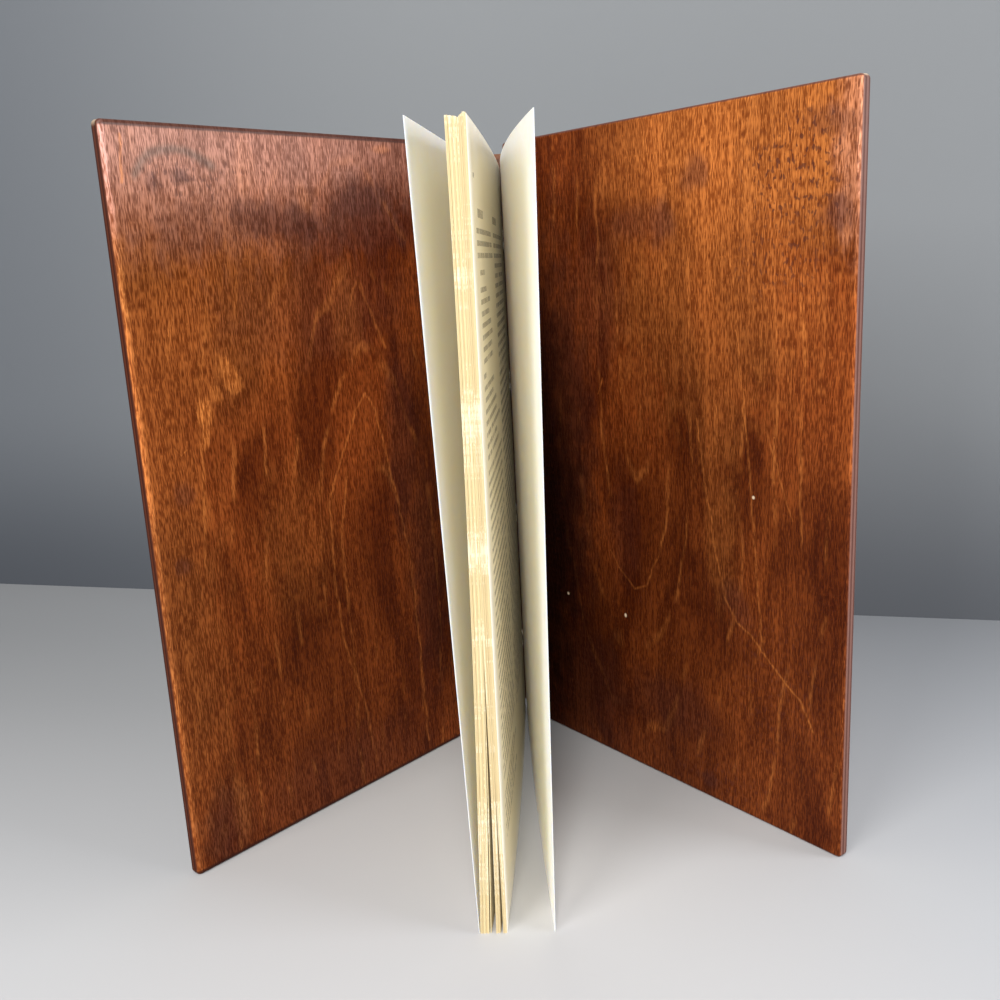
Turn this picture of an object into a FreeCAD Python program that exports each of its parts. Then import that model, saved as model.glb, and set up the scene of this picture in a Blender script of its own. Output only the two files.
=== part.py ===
import FreeCAD, Part
import math
import os

import Sketcher

# An open book with wooden covers, standing on its tail edge.
# Frame: millimetres, +Z up, +X to the right, the leaves point along -Y.
# The origin is the foot of the sewing line, in the middle of the page block's tail.

DOC = FreeCAD.newDocument("open_book")

DRIVING_SIZES = [
    ("board_height", 280.0, "cover board, tail to head"),
    ("board_width", 184.5, "cover board, spine edge to fore-edge"),
    ("board_thickness", 5.0, "cover board"),
    ("board_corner", 1.8, "radius of the board's four corners"),
    ("inner_easing", 1.5, "rounding of the board's inner arris"),
    ("outer_easing", 1.0, "rounding of the board's outer arris"),
    ("half_opening", 40.2, "angle of each cover from the middle plane, in degrees"),
    ("leaf_height", 270.0, "page block and flyleaves, tail to head"),
    ("leaf_width", 183.0, "page block and flyleaves, back to fore-edge"),
    ("left_pack", 3.1, "leaves left of the first gap, pressed"),
    ("loose_leaf", 0.3, "the leaf that stands between the first and second gaps"),
    ("middle_pack", 1.6, "leaves between the second and third gaps"),
    ("right_pack", 1.4, "leaves right of the third gap"),
    ("first_gap", 0.4, "width at the tail of the fore-edge"),
    ("second_gap", 1.7, "width at the tail of the fore-edge"),
    ("third_gap", 0.9, "width at the tail of the fore-edge"),
    ("first_gap_height", 92.0, "how far up the fore-edge the gap runs"),
    ("second_gap_height", 107.0, "how far up the fore-edge the gap runs"),
    ("third_gap_height", 58.0, "how far up the fore-edge the gap runs"),
    ("gap_slit", 0.12, "width of each gap where it closes"),
    ("gap_margin", 10.0, "sewing line to the inner end of each gap"),
    ("leaf_play", 0.4, "air between the leaves at the height where the second gap closes"),
    ("head_lean", 3.8, "the block's fore-edge lies this far to the left at the head"),
    ("tail_lean", 5.2, "the block's fore-edge lies this far to the left at the tail"),
    ("back_margin", 6.0, "sewing line to the back of the block"),
    ("flyleaf_thickness", 0.3, "blank leaf"),
    ("foot_gap", 0.5, "side of the block to the foot of a flyleaf"),
    ("left_spread_head", 14.9, "left flyleaf at the head, fore-edge from its foot"),
    ("left_spread_tail", 7.9, "left flyleaf at the tail, fore-edge from its foot"),
    ("left_bow_head", 0.4, "left flyleaf at the head, bow towards the block"),
    ("left_bow_tail", 1.0, "left flyleaf at the tail, bow towards the block"),
    ("right_spread_head", 15.0, "right flyleaf at the head, fore-edge from its foot"),
    ("right_spread_tail", 10.8, "right flyleaf at the tail, fore-edge from its foot"),
    ("right_bow_head", 3.2, "right flyleaf at the head, bow towards the block"),
    ("right_bow_tail", 1.0, "right flyleaf at the tail, bow towards the block"),
    ("hinge_clearance", 0.5, "foot of a flyleaf to the board's inner spine corner"),
    ("leather_thickness", 0.8, "spine leather"),
    ("leather_flange", 14.0, "leather glued over each board"),
    ("leather_bend", 1.2, "outer radius of the leather where it turns onto a board"),
    ("leather_margin", 4.5, "bare board below and above the leather"),
    ("glue_line", 0.25, "leather to board"),
    ("thread_diameter", 0.8, "sewing thread"),
    ("stitch_length", 3.6, "one stitch, hole to hole"),
    ("stitch_pair", 5.6, "lower stitch to upper stitch of one sewing station"),
    ("first_station", 36.2, "tail to the lowest hole"),
    ("station_pitch", 65.5, "one sewing station to the next"),
]
STATION_COUNT = 4
THREAD_SIDES = 6

# Places that follow from the driving sizes, written as expressions of the spreadsheet.
PACKS = "(Sizes.left_pack + Sizes.loose_leaf + Sizes.middle_pack + Sizes.right_pack)"
GAPS = "(Sizes.first_gap + Sizes.second_gap + Sizes.third_gap)"
BLOCK_HALF = "(%s / 2)" % PACKS
BACK = "Sizes.back_margin"
FORE_EDGE = "(Sizes.back_margin - Sizes.leaf_width)"
HINGE_X = "(%s + Sizes.foot_gap + Sizes.flyleaf_thickness + Sizes.hinge_clearance)" % BLOCK_HALF
HINGE_Y = "(Sizes.back_margin - Sizes.glue_line - Sizes.board_thickness * sin(Sizes.half_opening))"


def make_sheet():
    """The spreadsheet of driving sizes, one row and alias for each."""
    sheet = DOC.addObject("Spreadsheet::Sheet", "Sizes")
    for row, (alias, value, words) in enumerate(DRIVING_SIZES, start=1):
        sheet.set("A%d" % row, words)
        sheet.set("B%d" % row, str(value))
        sheet.setAlias("B%d" % row, alias)
    DOC.recompute()
    return sheet


SHEET = make_sheet()


def evaluate(expression):
    """The number that an expression of the sheet gives, in millimetres or degrees."""
    return float(SHEET.evalExpression(expression))


def new_body(label):
    """An empty body with the node's name as its label."""
    body = DOC.addObject("PartDesign::Body", "Body_" + label)
    body.Label = label
    return body


def origin_feature(body, role):
    """One of a body's own origin planes or axes."""
    for feature in body.Origin.OriginFeatures:
        if feature.Role == role:
            return feature
    raise ValueError(role)


def new_sketch(body, name, role, offset=None):
    """A sketch on an origin plane of its own body, moved along the normal by an expression."""
    sketch = body.newObject("Sketcher::SketchObject", name)
    sketch.AttachmentSupport = [(origin_feature(body, role), "")]
    sketch.MapMode = "FlatFace"
    if offset:
        sketch.setExpression("AttachmentOffset.Base.z", offset)
    return sketch


def bind(sketch, kind, items, expression):
    """Add a sized constraint whose value is an expression of the sheet."""
    index = sketch.addConstraint(Sketcher.Constraint(kind, *items, evaluate(expression)))
    sketch.setExpression("Constraints[%d]" % index, expression)


def place_point(sketch, edge, end, x, y):
    """Fix one end of an edge at an expressed distance from the sketch's origin."""
    bind(sketch, "DistanceX", (-1, 1, edge, end), x)
    bind(sketch, "DistanceY", (-1, 1, edge, end), y)


def sketch_line(sketch, start, end):
    """A straight edge of a sketch."""
    return sketch.addGeometry(Part.LineSegment(start, end), False)


def draw_outline(sketch, points):
    """A closed straight-sided outline, each corner fixed by a pair of expressions."""
    corners = [FreeCAD.Vector(evaluate(x), evaluate(y), 0.0) for x, y in points]
    for index, start in enumerate(corners):
        sketch_line(sketch, start, corners[(index + 1) % len(corners)])
    for index, (x, y) in enumerate(points):
        last = (index - 1) % len(points)
        sketch.addConstraint(Sketcher.Constraint("Coincident", last, 2, index, 1))
        place_point(sketch, index, 1, x, y)


def tangent_radius(shift, length):
    """Radius of an arc that leaves along the leaf and ends a small shift to one side."""
    return "((%s)^2 + (%s)^2) / (2 * (%s))" % (length, shift, shift)


def bow_radius(bow, spread, length):
    """Radius of an arc over a chord, from the bow at its middle."""
    return "(((%s)^2 + (%s)^2) / 4 + (%s)^2) / (2 * (%s))" % (spread, length, bow, bow)


def arc_between(start, end, radius, centre_side):
    """The short arc through a back point and a fore-edge point, centred left or right of it."""
    middle = (start + end) * 0.5
    chord = end - start
    reach = math.sqrt(radius ** 2 - chord.Length ** 2 / 4.0)
    across = FreeCAD.Vector(-chord.y, chord.x, 0.0).normalize()
    centre = middle + across * (reach * centre_side)
    angles = [math.atan2(p.y - centre.y, p.x - centre.x) % (2.0 * math.pi) for p in (start, end)]
    if centre_side < 0:
        angles = [angles[1], angles[0] + (2.0 * math.pi if angles[0] < angles[1] else 0.0)]
    circle = Part.Circle(centre, FreeCAD.Vector(0, 0, 1), radius)
    return Part.ArcOfCircle(circle, angles[0], angles[1])


def draw_leaf_section(sketch, left, right, back, fore_edge):
    """A long narrow outline of leaves: two arcs joined by a back edge and a fore-edge.

    Each side is (x at the back, x at the fore-edge, radius, side of the centre), the first
    three as expressions. The centre is on the left at -1 and on the right at +1.
    """
    ends = []
    for x_back, x_fore, radius, centre_side in (left, right):
        start = FreeCAD.Vector(evaluate(x_back), evaluate(back), 0.0)
        end = FreeCAD.Vector(evaluate(x_fore), evaluate(fore_edge), 0.0)
        arc = arc_between(start, end, evaluate(radius), centre_side)
        edge = sketch.addGeometry(arc, False)
        back_end, fore_end = (1, 2) if centre_side > 0 else (2, 1)
        place_point(sketch, edge, back_end, x_back, back)
        place_point(sketch, edge, fore_end, x_fore, fore_edge)
        bind(sketch, "Radius", (edge,), radius)
        ends.append((edge, back_end, start, fore_end, end))
    (left_edge, left_back, p0, left_fore, p1), (right_edge, right_back, p2, right_fore, p3) = ends
    back_line = sketch.addGeometry(Part.LineSegment(p0, p2), False)
    fore_line = sketch.addGeometry(Part.LineSegment(p1, p3), False)
    for line, line_end, edge, edge_end in (
        (back_line, 1, left_edge, left_back), (back_line, 2, right_edge, right_back),
        (fore_line, 1, left_edge, left_fore), (fore_line, 2, right_edge, right_fore),
    ):
        sketch.addConstraint(Sketcher.Constraint("Coincident", line, line_end, edge, edge_end))


def loft_feature(body, kind, name, sketches, ruled):
    """Loft a run of sections into or out of a body."""
    loft = body.newObject(kind, name)
    loft.Profile = sketches[0]
    loft.Sections = sketches[1:]
    loft.Ruled = ruled
    DOC.recompute()
    return loft


def faces_along(shape, axis):
    """Names of the flat faces that look both ways along an axis, with the end each is on."""
    found = []
    for number, face in enumerate(shape.Faces, start=1):
        if isinstance(face.Surface, Part.Plane):
            normal = face.normalAt(0, 0)
            if abs(abs(normal.dot(axis)) - 1.0) < 1e-6:
                found.append(("Face%d" % number, face.CenterOfMass.dot(axis)))
    return found


def make_cover(label, side):
    """One plywood board, drawn flat from its spine edge and swung about its inner spine corner.

    In the body's own frame X runs to the fore-edge, Z to the head, and Y = 0 is the inner face.
    """
    body = new_body(label)
    outline = new_sketch(body, label + "_outline", "XZ_Plane")
    width, height = evaluate("Sizes.board_width"), evaluate("Sizes.board_height")
    radius = evaluate("Sizes.board_corner")
    corners = [(0.0, 0.0), (width, 0.0), (width, height), (0.0, height)]
    lines = []
    for index, (x, y) in enumerate(corners):
        x_next, y_next = corners[(index + 1) % len(corners)]
        along = FreeCAD.Vector(x_next - x, y_next - y, 0.0).normalize()
        start = FreeCAD.Vector(x, y, 0.0) + along * radius
        end = FreeCAD.Vector(x_next, y_next, 0.0) - along * radius
        lines.append(sketch_line(outline, start, end))
    for index, (x, y) in enumerate(corners):
        turn_in = lines[index - 1]
        turn_out = lines[index]
        centre = FreeCAD.Vector(min(max(x, radius), width - radius),
                                min(max(y, radius), height - radius), 0.0)
        first_angle = math.pi + index * math.pi / 2.0
        circle = Part.Circle(centre, FreeCAD.Vector(0, 0, 1), radius)
        arc = outline.addGeometry(
            Part.ArcOfCircle(circle, first_angle, first_angle + math.pi / 2.0), False)
        outline.addConstraint(Sketcher.Constraint("Tangent", arc, 1, turn_in, 2))
        outline.addConstraint(Sketcher.Constraint("Tangent", arc, 2, turn_out, 1))
        bind(outline, "Radius", (arc,), "Sizes.board_corner")
    bottom, fore_edge, top, spine_edge = lines
    for line in (bottom, top):
        outline.addConstraint(Sketcher.Constraint("Horizontal", line))
    for line in (fore_edge, spine_edge):
        outline.addConstraint(Sketcher.Constraint("Vertical", line))
    outline.addConstraint(Sketcher.Constraint("PointOnObject", bottom, 1, -1))
    outline.addConstraint(Sketcher.Constraint("PointOnObject", spine_edge, 1, -2))
    bind(outline, "DistanceX", (-1, 1, fore_edge, 1), "Sizes.board_width")
    bind(outline, "DistanceY", (-1, 1, top, 1), "Sizes.board_height")

    pad = body.newObject("PartDesign::Pad", label + "_board")
    pad.Profile = outline
    pad.setExpression("Length", "Sizes.board_thickness")
    pad.Reversed = side > 0
    DOC.recompute()

    outer_first = sorted(faces_along(pad.Shape, FreeCAD.Vector(0, side, 0)), key=lambda f: -f[1])
    easing = body.newObject("PartDesign::Fillet", label + "_outer_easing")
    easing.Base = (pad, [outer_first[0][0]])
    easing.setExpression("Radius", "Sizes.outer_easing")
    DOC.recompute()
    inner_first = sorted(faces_along(easing.Shape, FreeCAD.Vector(0, side, 0)), key=lambda f: f[1])
    inner = body.newObject("PartDesign::Fillet", label + "_inner_easing")
    inner.Base = (easing, [inner_first[0][0]])
    inner.setExpression("Radius", "Sizes.inner_easing")

    turned = FreeCAD.Rotation(FreeCAD.Vector(0, 0, 1), 270.0)
    body.Placement = FreeCAD.Placement(FreeCAD.Vector(0, 0, 0), turned)
    body.setExpression("Placement.Base.x", "%d * %s" % (side, HINGE_X))
    body.setExpression("Placement.Base.y", HINGE_Y)
    body.setExpression("Placement.Rotation.Angle", "270 + %d * Sizes.half_opening" % side)
    return body


def block_side(spine_x, fore_x):
    """A side of the page block: it leaves the back straight and bends to the left."""
    shift = "(%s) - (%s)" % (spine_x, fore_x)
    return (spine_x, fore_x, tangent_radius(shift, "Sizes.leaf_width"), -1)


def lean_at(share):
    """How far left the block's right fore-edge lies, from the tail (0) to the head (1)."""
    return "(Sizes.tail_lean + (Sizes.head_lean - Sizes.tail_lean) * %s)" % share


def make_page_block():
    """The leaves as one solid: bent, leaning, and parted at the tail of the fore-edge."""
    body = new_body("page_block_body")
    gap_share = "(Sizes.second_gap_height / Sizes.leaf_height)"
    right_at = {
        "tail": "(%s - %s)" % (BLOCK_HALF, lean_at("0")),
        "closing": "(%s - %s)" % (BLOCK_HALF, lean_at(gap_share)),
        "head": "(%s - %s)" % (BLOCK_HALF, lean_at("1")),
    }
    left_at = {
        "tail": "(%s - %s - %s)" % (right_at["tail"], PACKS, GAPS),
        "closing": "(%s - %s - Sizes.leaf_play)" % (right_at["closing"], PACKS),
        "head": "(%s - %s)" % (right_at["head"], PACKS),
    }
    heights = {"tail": None, "closing": "Sizes.second_gap_height", "head": "Sizes.leaf_height"}
    sections = []
    for level, height in heights.items():
        sketch = new_sketch(body, "leaves_" + level, "XY_Plane", height)
        left = block_side("-" + BLOCK_HALF, left_at[level])
        right = block_side(BLOCK_HALF, right_at[level])
        draw_leaf_section(sketch, left, right, BACK, FORE_EDGE)
        sections.append(sketch)
    loft_feature(body, "PartDesign::AdditiveLoft", "leaves", sections, False)

    packs = ["Sizes.left_pack", "Sizes.loose_leaf", "Sizes.middle_pack"]
    gaps = ["Sizes.first_gap", "Sizes.second_gap", "Sizes.third_gap"]
    half_slit = "Sizes.gap_slit / 2"
    past_edge = "(%s - 1)" % FORE_EDGE
    for index, gap in enumerate(gaps):
        name = ("first_gap", "second_gap", "third_gap")[index]
        paper = " + ".join(packs[:index + 1])
        spine_x = "(-%s + %s)" % (BLOCK_HALF, paper)
        air = " + ".join(["0"] + gaps[:index])
        tail_x = "(%s + %s + %s)" % (left_at["tail"], paper, air)
        top_share = "(Sizes.%s_height / Sizes.second_gap_height)" % name
        top_x = "(%s + (%s - %s) * %s + %s)" % (
            left_at["tail"], left_at["closing"], left_at["tail"], top_share, paper)
        wedge = []
        for level, height, left_x, right_x in (
            ("tail", "-1", tail_x, "(%s + %s)" % (tail_x, gap)),
            ("top", "Sizes.%s_height" % name, "(%s - %s)" % (top_x, half_slit),
             "(%s + %s)" % (top_x, half_slit)),
        ):
            sketch = new_sketch(body, "%s_%s" % (name, level), "XY_Plane", height)
            left = block_side("(%s - %s)" % (spine_x, half_slit), left_x)
            right = block_side("(%s + %s)" % (spine_x, half_slit), right_x)
            draw_leaf_section(sketch, left, right, "-Sizes.gap_margin", past_edge)
            wedge.append(sketch)
        loft_feature(body, "PartDesign::SubtractiveLoft", name, wedge, True)
    return body


def make_flyleaf(label, side):
    """A blank leaf that stands free beside the block, its foot on the spine leather."""
    body = new_body(label)
    word = label.split("_")[0]
    foot = "(%s + Sizes.foot_gap)" % BLOCK_HALF
    sections = []
    for level, height in (("tail", None), ("head", "Sizes.leaf_height")):
        spread = "Sizes.%s_spread_%s" % (word, level)
        bow = "Sizes.%s_bow_%s" % (word, level)
        length = "sqrt(Sizes.leaf_width^2 - %s^2)" % spread
        radius = bow_radius(bow, spread, length)
        near = ("%d * %s" % (side, foot), "%d * (%s + %s)" % (side, foot, spread), radius, side)
        far = tuple("%s + %d * Sizes.flyleaf_thickness" % (x, side) for x in near[:2])
        far = far + (radius, side)
        left, right = (near, far) if side > 0 else (far, near)
        sketch = new_sketch(body, "%s_%s" % (label, level), "XY_Plane", height)
        draw_leaf_section(sketch, left, right, BACK, "(%s - %s)" % (BACK, length))
        sections.append(sketch)
    loft_feature(body, "PartDesign::AdditiveLoft", label + "_sheet", sections, True)
    return body


def make_spine_leather():
    """One strip: flat across the back of the block and turned onto the outside of each board."""
    body = new_body("spine_leather")
    sketch = new_sketch(body, "leather_section", "XY_Plane", "Sizes.leather_margin")
    outer_y = "(%s + Sizes.leather_thickness)" % BACK
    board_and_glue = "(Sizes.board_thickness + Sizes.glue_line)"
    inner_x = "(%s + (%s - %s) * tan(Sizes.half_opening) + %s / cos(Sizes.half_opening))" % (
        HINGE_X, HINGE_Y, BACK, board_and_glue)
    outer_x = "(%s + (%s - %s) * tan(Sizes.half_opening) + (%s + %s) / cos(Sizes.half_opening))" % (
        HINGE_X, HINGE_Y, outer_y, board_and_glue, "Sizes.leather_thickness")
    end_x = "(%s + Sizes.leather_flange * sin(Sizes.half_opening))" % inner_x
    end_y = "(%s - Sizes.leather_flange * cos(Sizes.half_opening))" % BACK
    far_x = "(%s + Sizes.leather_thickness * cos(Sizes.half_opening))" % end_x
    far_y = "(%s + Sizes.leather_thickness * sin(Sizes.half_opening))" % end_y
    right = [(outer_x, outer_y), (far_x, far_y), (end_x, end_y), (inner_x, BACK)]
    points = right + [("(-1 * %s)" % x, y) for x, y in reversed(right)]
    draw_outline(sketch, points)

    pad = body.newObject("PartDesign::Pad", "leather_strip")
    pad.Profile = sketch
    pad.setExpression("Length", "Sizes.board_height - 2 * Sizes.leather_margin")
    DOC.recompute()
    bends = []
    for number, edge in enumerate(pad.Shape.Edges, start=1):
        middle = edge.CenterOfMass
        upright = abs(edge.Vertexes[0].Point.z - edge.Vertexes[-1].Point.z) > 1.0
        if upright and abs(middle.y - evaluate(outer_y)) < 1e-6:
            bends.append("Edge%d" % number)
    fillet = body.newObject("PartDesign::Fillet", "leather_turn")
    fillet.Base = (pad, bends)
    fillet.setExpression("Radius", "Sizes.leather_bend")
    return body


def make_stitch(body, name, lower_hole):
    """A closed loop of thread: one leg through each hole and a bar on each side of the block.

    The thread is drawn six-sided. Its bars lie half sunk in the outer leaves.
    """
    upper_hole = "(%s + Sizes.stitch_length)" % lower_hole
    path = new_sketch(body, name + "_path", "XZ_Plane")
    draw_outline(path, [("(-1 * %s)" % BLOCK_HALF, lower_hole), (BLOCK_HALF, lower_hole),
                        (BLOCK_HALF, upper_hole), ("(-1 * %s)" % BLOCK_HALF, upper_hole)])
    middle = "(%s + Sizes.stitch_length / 2)" % lower_hole
    section = new_sketch(body, name + "_section", "XY_Plane", middle)
    ring = []
    for corner in range(THREAD_SIDES):
        angle = 360.0 * corner / THREAD_SIDES
        ring.append(("(%s + Sizes.thread_diameter / 2 * cos(%s))" % (BLOCK_HALF, angle),
                     "(Sizes.thread_diameter / 2 * sin(%s))" % angle))
    draw_outline(section, ring)
    pipe = body.newObject("PartDesign::AdditivePipe", name)
    pipe.Profile = section
    pipe.Spine = path
    pipe.Transition = "Right corner"
    DOC.recompute()
    return pipe


def make_sewing_thread():
    """Two stitches at each sewing station, the stations repeated up the spine."""
    body = new_body("sewing_thread")
    lower = make_stitch(body, "lower_stitch", "Sizes.first_station")
    upper = make_stitch(body, "upper_stitch", "(Sizes.first_station + Sizes.stitch_pair)")
    stations = body.newObject("PartDesign::LinearPattern", "stations")
    stations.Originals = [lower, upper]
    stations.Direction = (origin_feature(body, "Z_Axis"), [""])
    stations.setExpression("Length", "Sizes.station_pitch * %d" % (STATION_COUNT - 1))
    stations.Occurrences = STATION_COUNT
    body.Tip = stations
    DOC.recompute()
    return body


def sew(block, thread):
    """The page block with the thread's holes through it."""
    sewn = DOC.addObject("Part::Cut", "page_block")
    sewn.Base = block
    sewn.Tool = thread
    return sewn


def check_and_write(nodes):
    """Stop on a failed feature, then write one file for each node."""
    for item in DOC.Objects:
        for word in ("Invalid", "Error"):
            if word in item.State:
                raise RuntimeError("%s is %s" % (item.Label, item.State))
    for node in nodes:
        if node.Shape.isNull() or not node.Shape.isValid() or node.Shape.Volume <= 0.0:
            raise RuntimeError("%s has no valid shape" % node.Label)
    os.makedirs("parts", exist_ok=True)
    for node in nodes:
        node.Shape.exportStep("parts/%s.step" % node.Label)
        print("%-14s %d solids, %.2f cm3" % (node.Label, len(node.Shape.Solids),
                                             node.Shape.Volume / 1000.0))


def main():
    left_cover = make_cover("left_cover", -1)
    right_cover = make_cover("right_cover", 1)
    left_flyleaf = make_flyleaf("left_flyleaf", -1)
    right_flyleaf = make_flyleaf("right_flyleaf", 1)
    spine_leather = make_spine_leather()
    sewing_thread = make_sewing_thread()
    page_block = sew(make_page_block(), sewing_thread)
    DOC.recompute()
    check_and_write([left_cover, right_cover, page_block, left_flyleaf, right_flyleaf,
                     spine_leather, sewing_thread])


main()
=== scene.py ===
import logging
import math
import random
from dataclasses import dataclass, field
from enum import Enum
from typing import Sequence, Union

import bpy
from mathutils import Matrix, Vector


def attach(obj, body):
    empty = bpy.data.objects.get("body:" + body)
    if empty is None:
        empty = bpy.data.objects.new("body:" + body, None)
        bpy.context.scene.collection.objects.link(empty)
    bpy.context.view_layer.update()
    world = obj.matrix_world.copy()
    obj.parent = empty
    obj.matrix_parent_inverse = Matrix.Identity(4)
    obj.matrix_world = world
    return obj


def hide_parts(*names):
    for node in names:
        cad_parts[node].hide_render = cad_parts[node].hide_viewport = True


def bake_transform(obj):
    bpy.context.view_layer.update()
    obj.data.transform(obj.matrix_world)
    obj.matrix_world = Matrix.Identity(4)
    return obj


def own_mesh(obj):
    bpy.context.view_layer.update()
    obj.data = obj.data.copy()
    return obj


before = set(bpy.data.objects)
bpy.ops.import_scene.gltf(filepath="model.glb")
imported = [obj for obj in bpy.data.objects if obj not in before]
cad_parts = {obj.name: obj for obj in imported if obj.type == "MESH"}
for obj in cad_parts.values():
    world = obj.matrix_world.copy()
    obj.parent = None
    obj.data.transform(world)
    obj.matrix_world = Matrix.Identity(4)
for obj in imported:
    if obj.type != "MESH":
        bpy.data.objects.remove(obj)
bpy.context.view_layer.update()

MM = 0.001
FLAT_LAYER = "leaf_flat"
TONE_LAYER = "leaf_tone"
VALUE = "NodeSocketFloat"
VECTOR = "NodeSocketVector"
LOG = logging.getLogger("open_book")

Colour = tuple[float, float, float, float]
Input = Union[float, bpy.types.NodeSocket]


class Side(Enum):
    """Which half of the open book a piece belongs to, as the sign of its X."""

    LEFT = -1
    RIGHT = 1

    @property
    def word(self) -> str:
        """The side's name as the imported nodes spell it."""
        return self.name.lower()


def stained(red: int, green: int, blue: int) -> Colour:
    """A colour named by its screen values.

    Args:
        red: Screen red, 0 to 255.
        green: Screen green, 0 to 255.
        blue: Screen blue, 0 to 255.

    Returns:
        The same colour in linear light, with full alpha.
    """
    channels = []
    for value in (red, green, blue):
        share = value / 255.0
        linear = share / 12.92 if share <= 0.04045 else ((share + 0.055) / 1.055) ** 2.4
        channels.append(linear)
    return (channels[0], channels[1], channels[2], 1.0)


class Pen:
    """Places shader nodes in one tree and joins them."""

    def __init__(self, tree: bpy.types.NodeTree) -> None:
        """Start on an empty or a fresh tree."""
        self.tree = tree

    def node(self, kind: str, **settings: object) -> bpy.types.Node:
        """Add one node.

        Args:
            kind: The node's type, without its ShaderNode prefix.
            settings: Properties of the node to set.

        Returns:
            The new node.
        """
        made = self.tree.nodes.new("ShaderNode" + kind)
        for name, value in settings.items():
            setattr(made, name, value)
        return made

    def feed(self, socket: bpy.types.NodeSocket, value: object) -> None:
        """Link a socket to an input, or set the input's own value."""
        if isinstance(value, bpy.types.NodeSocket):
            self.tree.links.new(value, socket)
        else:
            socket.default_value = value

    def math(self, operation: str, first: Input, second: Input = 0.0, third: Input = 0.0,
             clamp: bool = False) -> bpy.types.NodeSocket:
        """Work out one sum.

        Args:
            operation: The Math node's operation.
            first: Its first value.
            second: Its second value.
            third: Its third value, where the operation takes one.
            clamp: Whether the result stays between 0 and 1.

        Returns:
            The result's socket.
        """
        made = self.node("Math", operation=operation, use_clamp=clamp)
        for socket, given in zip(made.inputs, (first, second, third)):
            self.feed(socket, given)
        return made.outputs[0]

    def times(self, first: Input, second: Input) -> bpy.types.NodeSocket:
        """Multiply two values."""
        return self.math("MULTIPLY", first, second)

    def plus(self, first: Input, second: Input) -> bpy.types.NodeSocket:
        """Add two values."""
        return self.math("ADD", first, second)

    def minus(self, first: Input, second: Input) -> bpy.types.NodeSocket:
        """Take the second value from the first."""
        return self.math("SUBTRACT", first, second)

    def swing(self, value: Input, width: Input) -> bpy.types.NodeSocket:
        """Centre a value of 0 to 1 on 0 and stretch it to a width."""
        return self.times(self.minus(value, 0.5), width)

    def vector(self, operation: str, first: object, second: object = (0.0, 0.0, 0.0),
               scale: Input = 1.0) -> bpy.types.NodeSocket:
        """Work out one sum of vectors.

        Args:
            operation: The Vector Math node's operation.
            first: Its first vector.
            second: Its second vector.
            scale: Its scale, where the operation takes one.

        Returns:
            The result's socket, a value for the operations that measure.
        """
        made = self.node("VectorMath", operation=operation)
        for number, given in ((0, first), (1, second), (3, scale)):
            self.feed(made.inputs[number], given)
        measures = operation in ("DOT_PRODUCT", "DISTANCE", "LENGTH")
        return made.outputs[1 if measures else 0]

    def span(self, value: Input, start: Input, end: Input, low: float = 0.0,
             high: float = 1.0) -> bpy.types.NodeSocket:
        """Map a value smoothly from one span to another.

        Args:
            value: What is mapped.
            start: Where the result is `low`.
            end: Where the result is `high`.
            low: The result at the start.
            high: The result at the end.

        Returns:
            The result's socket.
        """
        made = self.node("MapRange", interpolation_type="SMOOTHSTEP")
        for socket, given in zip(made.inputs, (value, start, end, low, high)):
            self.feed(socket, given)
        return made.outputs[0]

    def blend(self, share: Input, first: object, second: object,
              mode: str = "MIX") -> bpy.types.NodeSocket:
        """Mix two colours.

        Args:
            share: How much of the second.
            first: The colour at 0.
            second: The colour at 1.
            mode: The way that the second is laid over the first.

        Returns:
            The mixed colour's socket.
        """
        made = self.node("Mix", data_type="RGBA", blend_type=mode)
        self.feed(made.inputs[0], share)
        self.feed(made.inputs[6], first)
        self.feed(made.inputs[7], second)
        return made.outputs[2]

    def point(self, x: Input = 0.0, y: Input = 0.0, z: Input = 0.0) -> bpy.types.NodeSocket:
        """Join three values into a vector."""
        made = self.node("CombineXYZ")
        for socket, given in zip(made.inputs, (x, y, z)):
            self.feed(socket, given)
        return made.outputs[0]

    def noise(self, place: bpy.types.NodeSocket, scale: float, detail: float = 2.0,
              roughness: float = 0.5, warp: float = 0.0) -> bpy.types.NodeSocket:
        """Lay a noise over a place.

        Args:
            place: The vector that the noise follows.
            scale: Its scale.
            detail: Its octaves.
            roughness: How strong the fine octaves are.
            warp: Its distortion.

        Returns:
            The noise's value.
        """
        made = self.node("TexNoise", noise_dimensions="3D")
        self.feed(made.inputs["Vector"], place)
        for name, given in (("Scale", scale), ("Detail", detail), ("Roughness", roughness),
                            ("Distortion", warp)):
            made.inputs[name].default_value = given
        return made.outputs[0]

    def group(self, tree: bpy.types.NodeTree, **inputs: object) -> bpy.types.Node:
        """Place a node group.

        Args:
            tree: The group.
            inputs: Values by socket name, with _ for each space.

        Returns:
            The group's node.
        """
        made = self.node("Group", node_tree=tree)
        for name, value in inputs.items():
            self.feed(made.inputs[name.replace("_", " ")], value)
        return made


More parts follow.
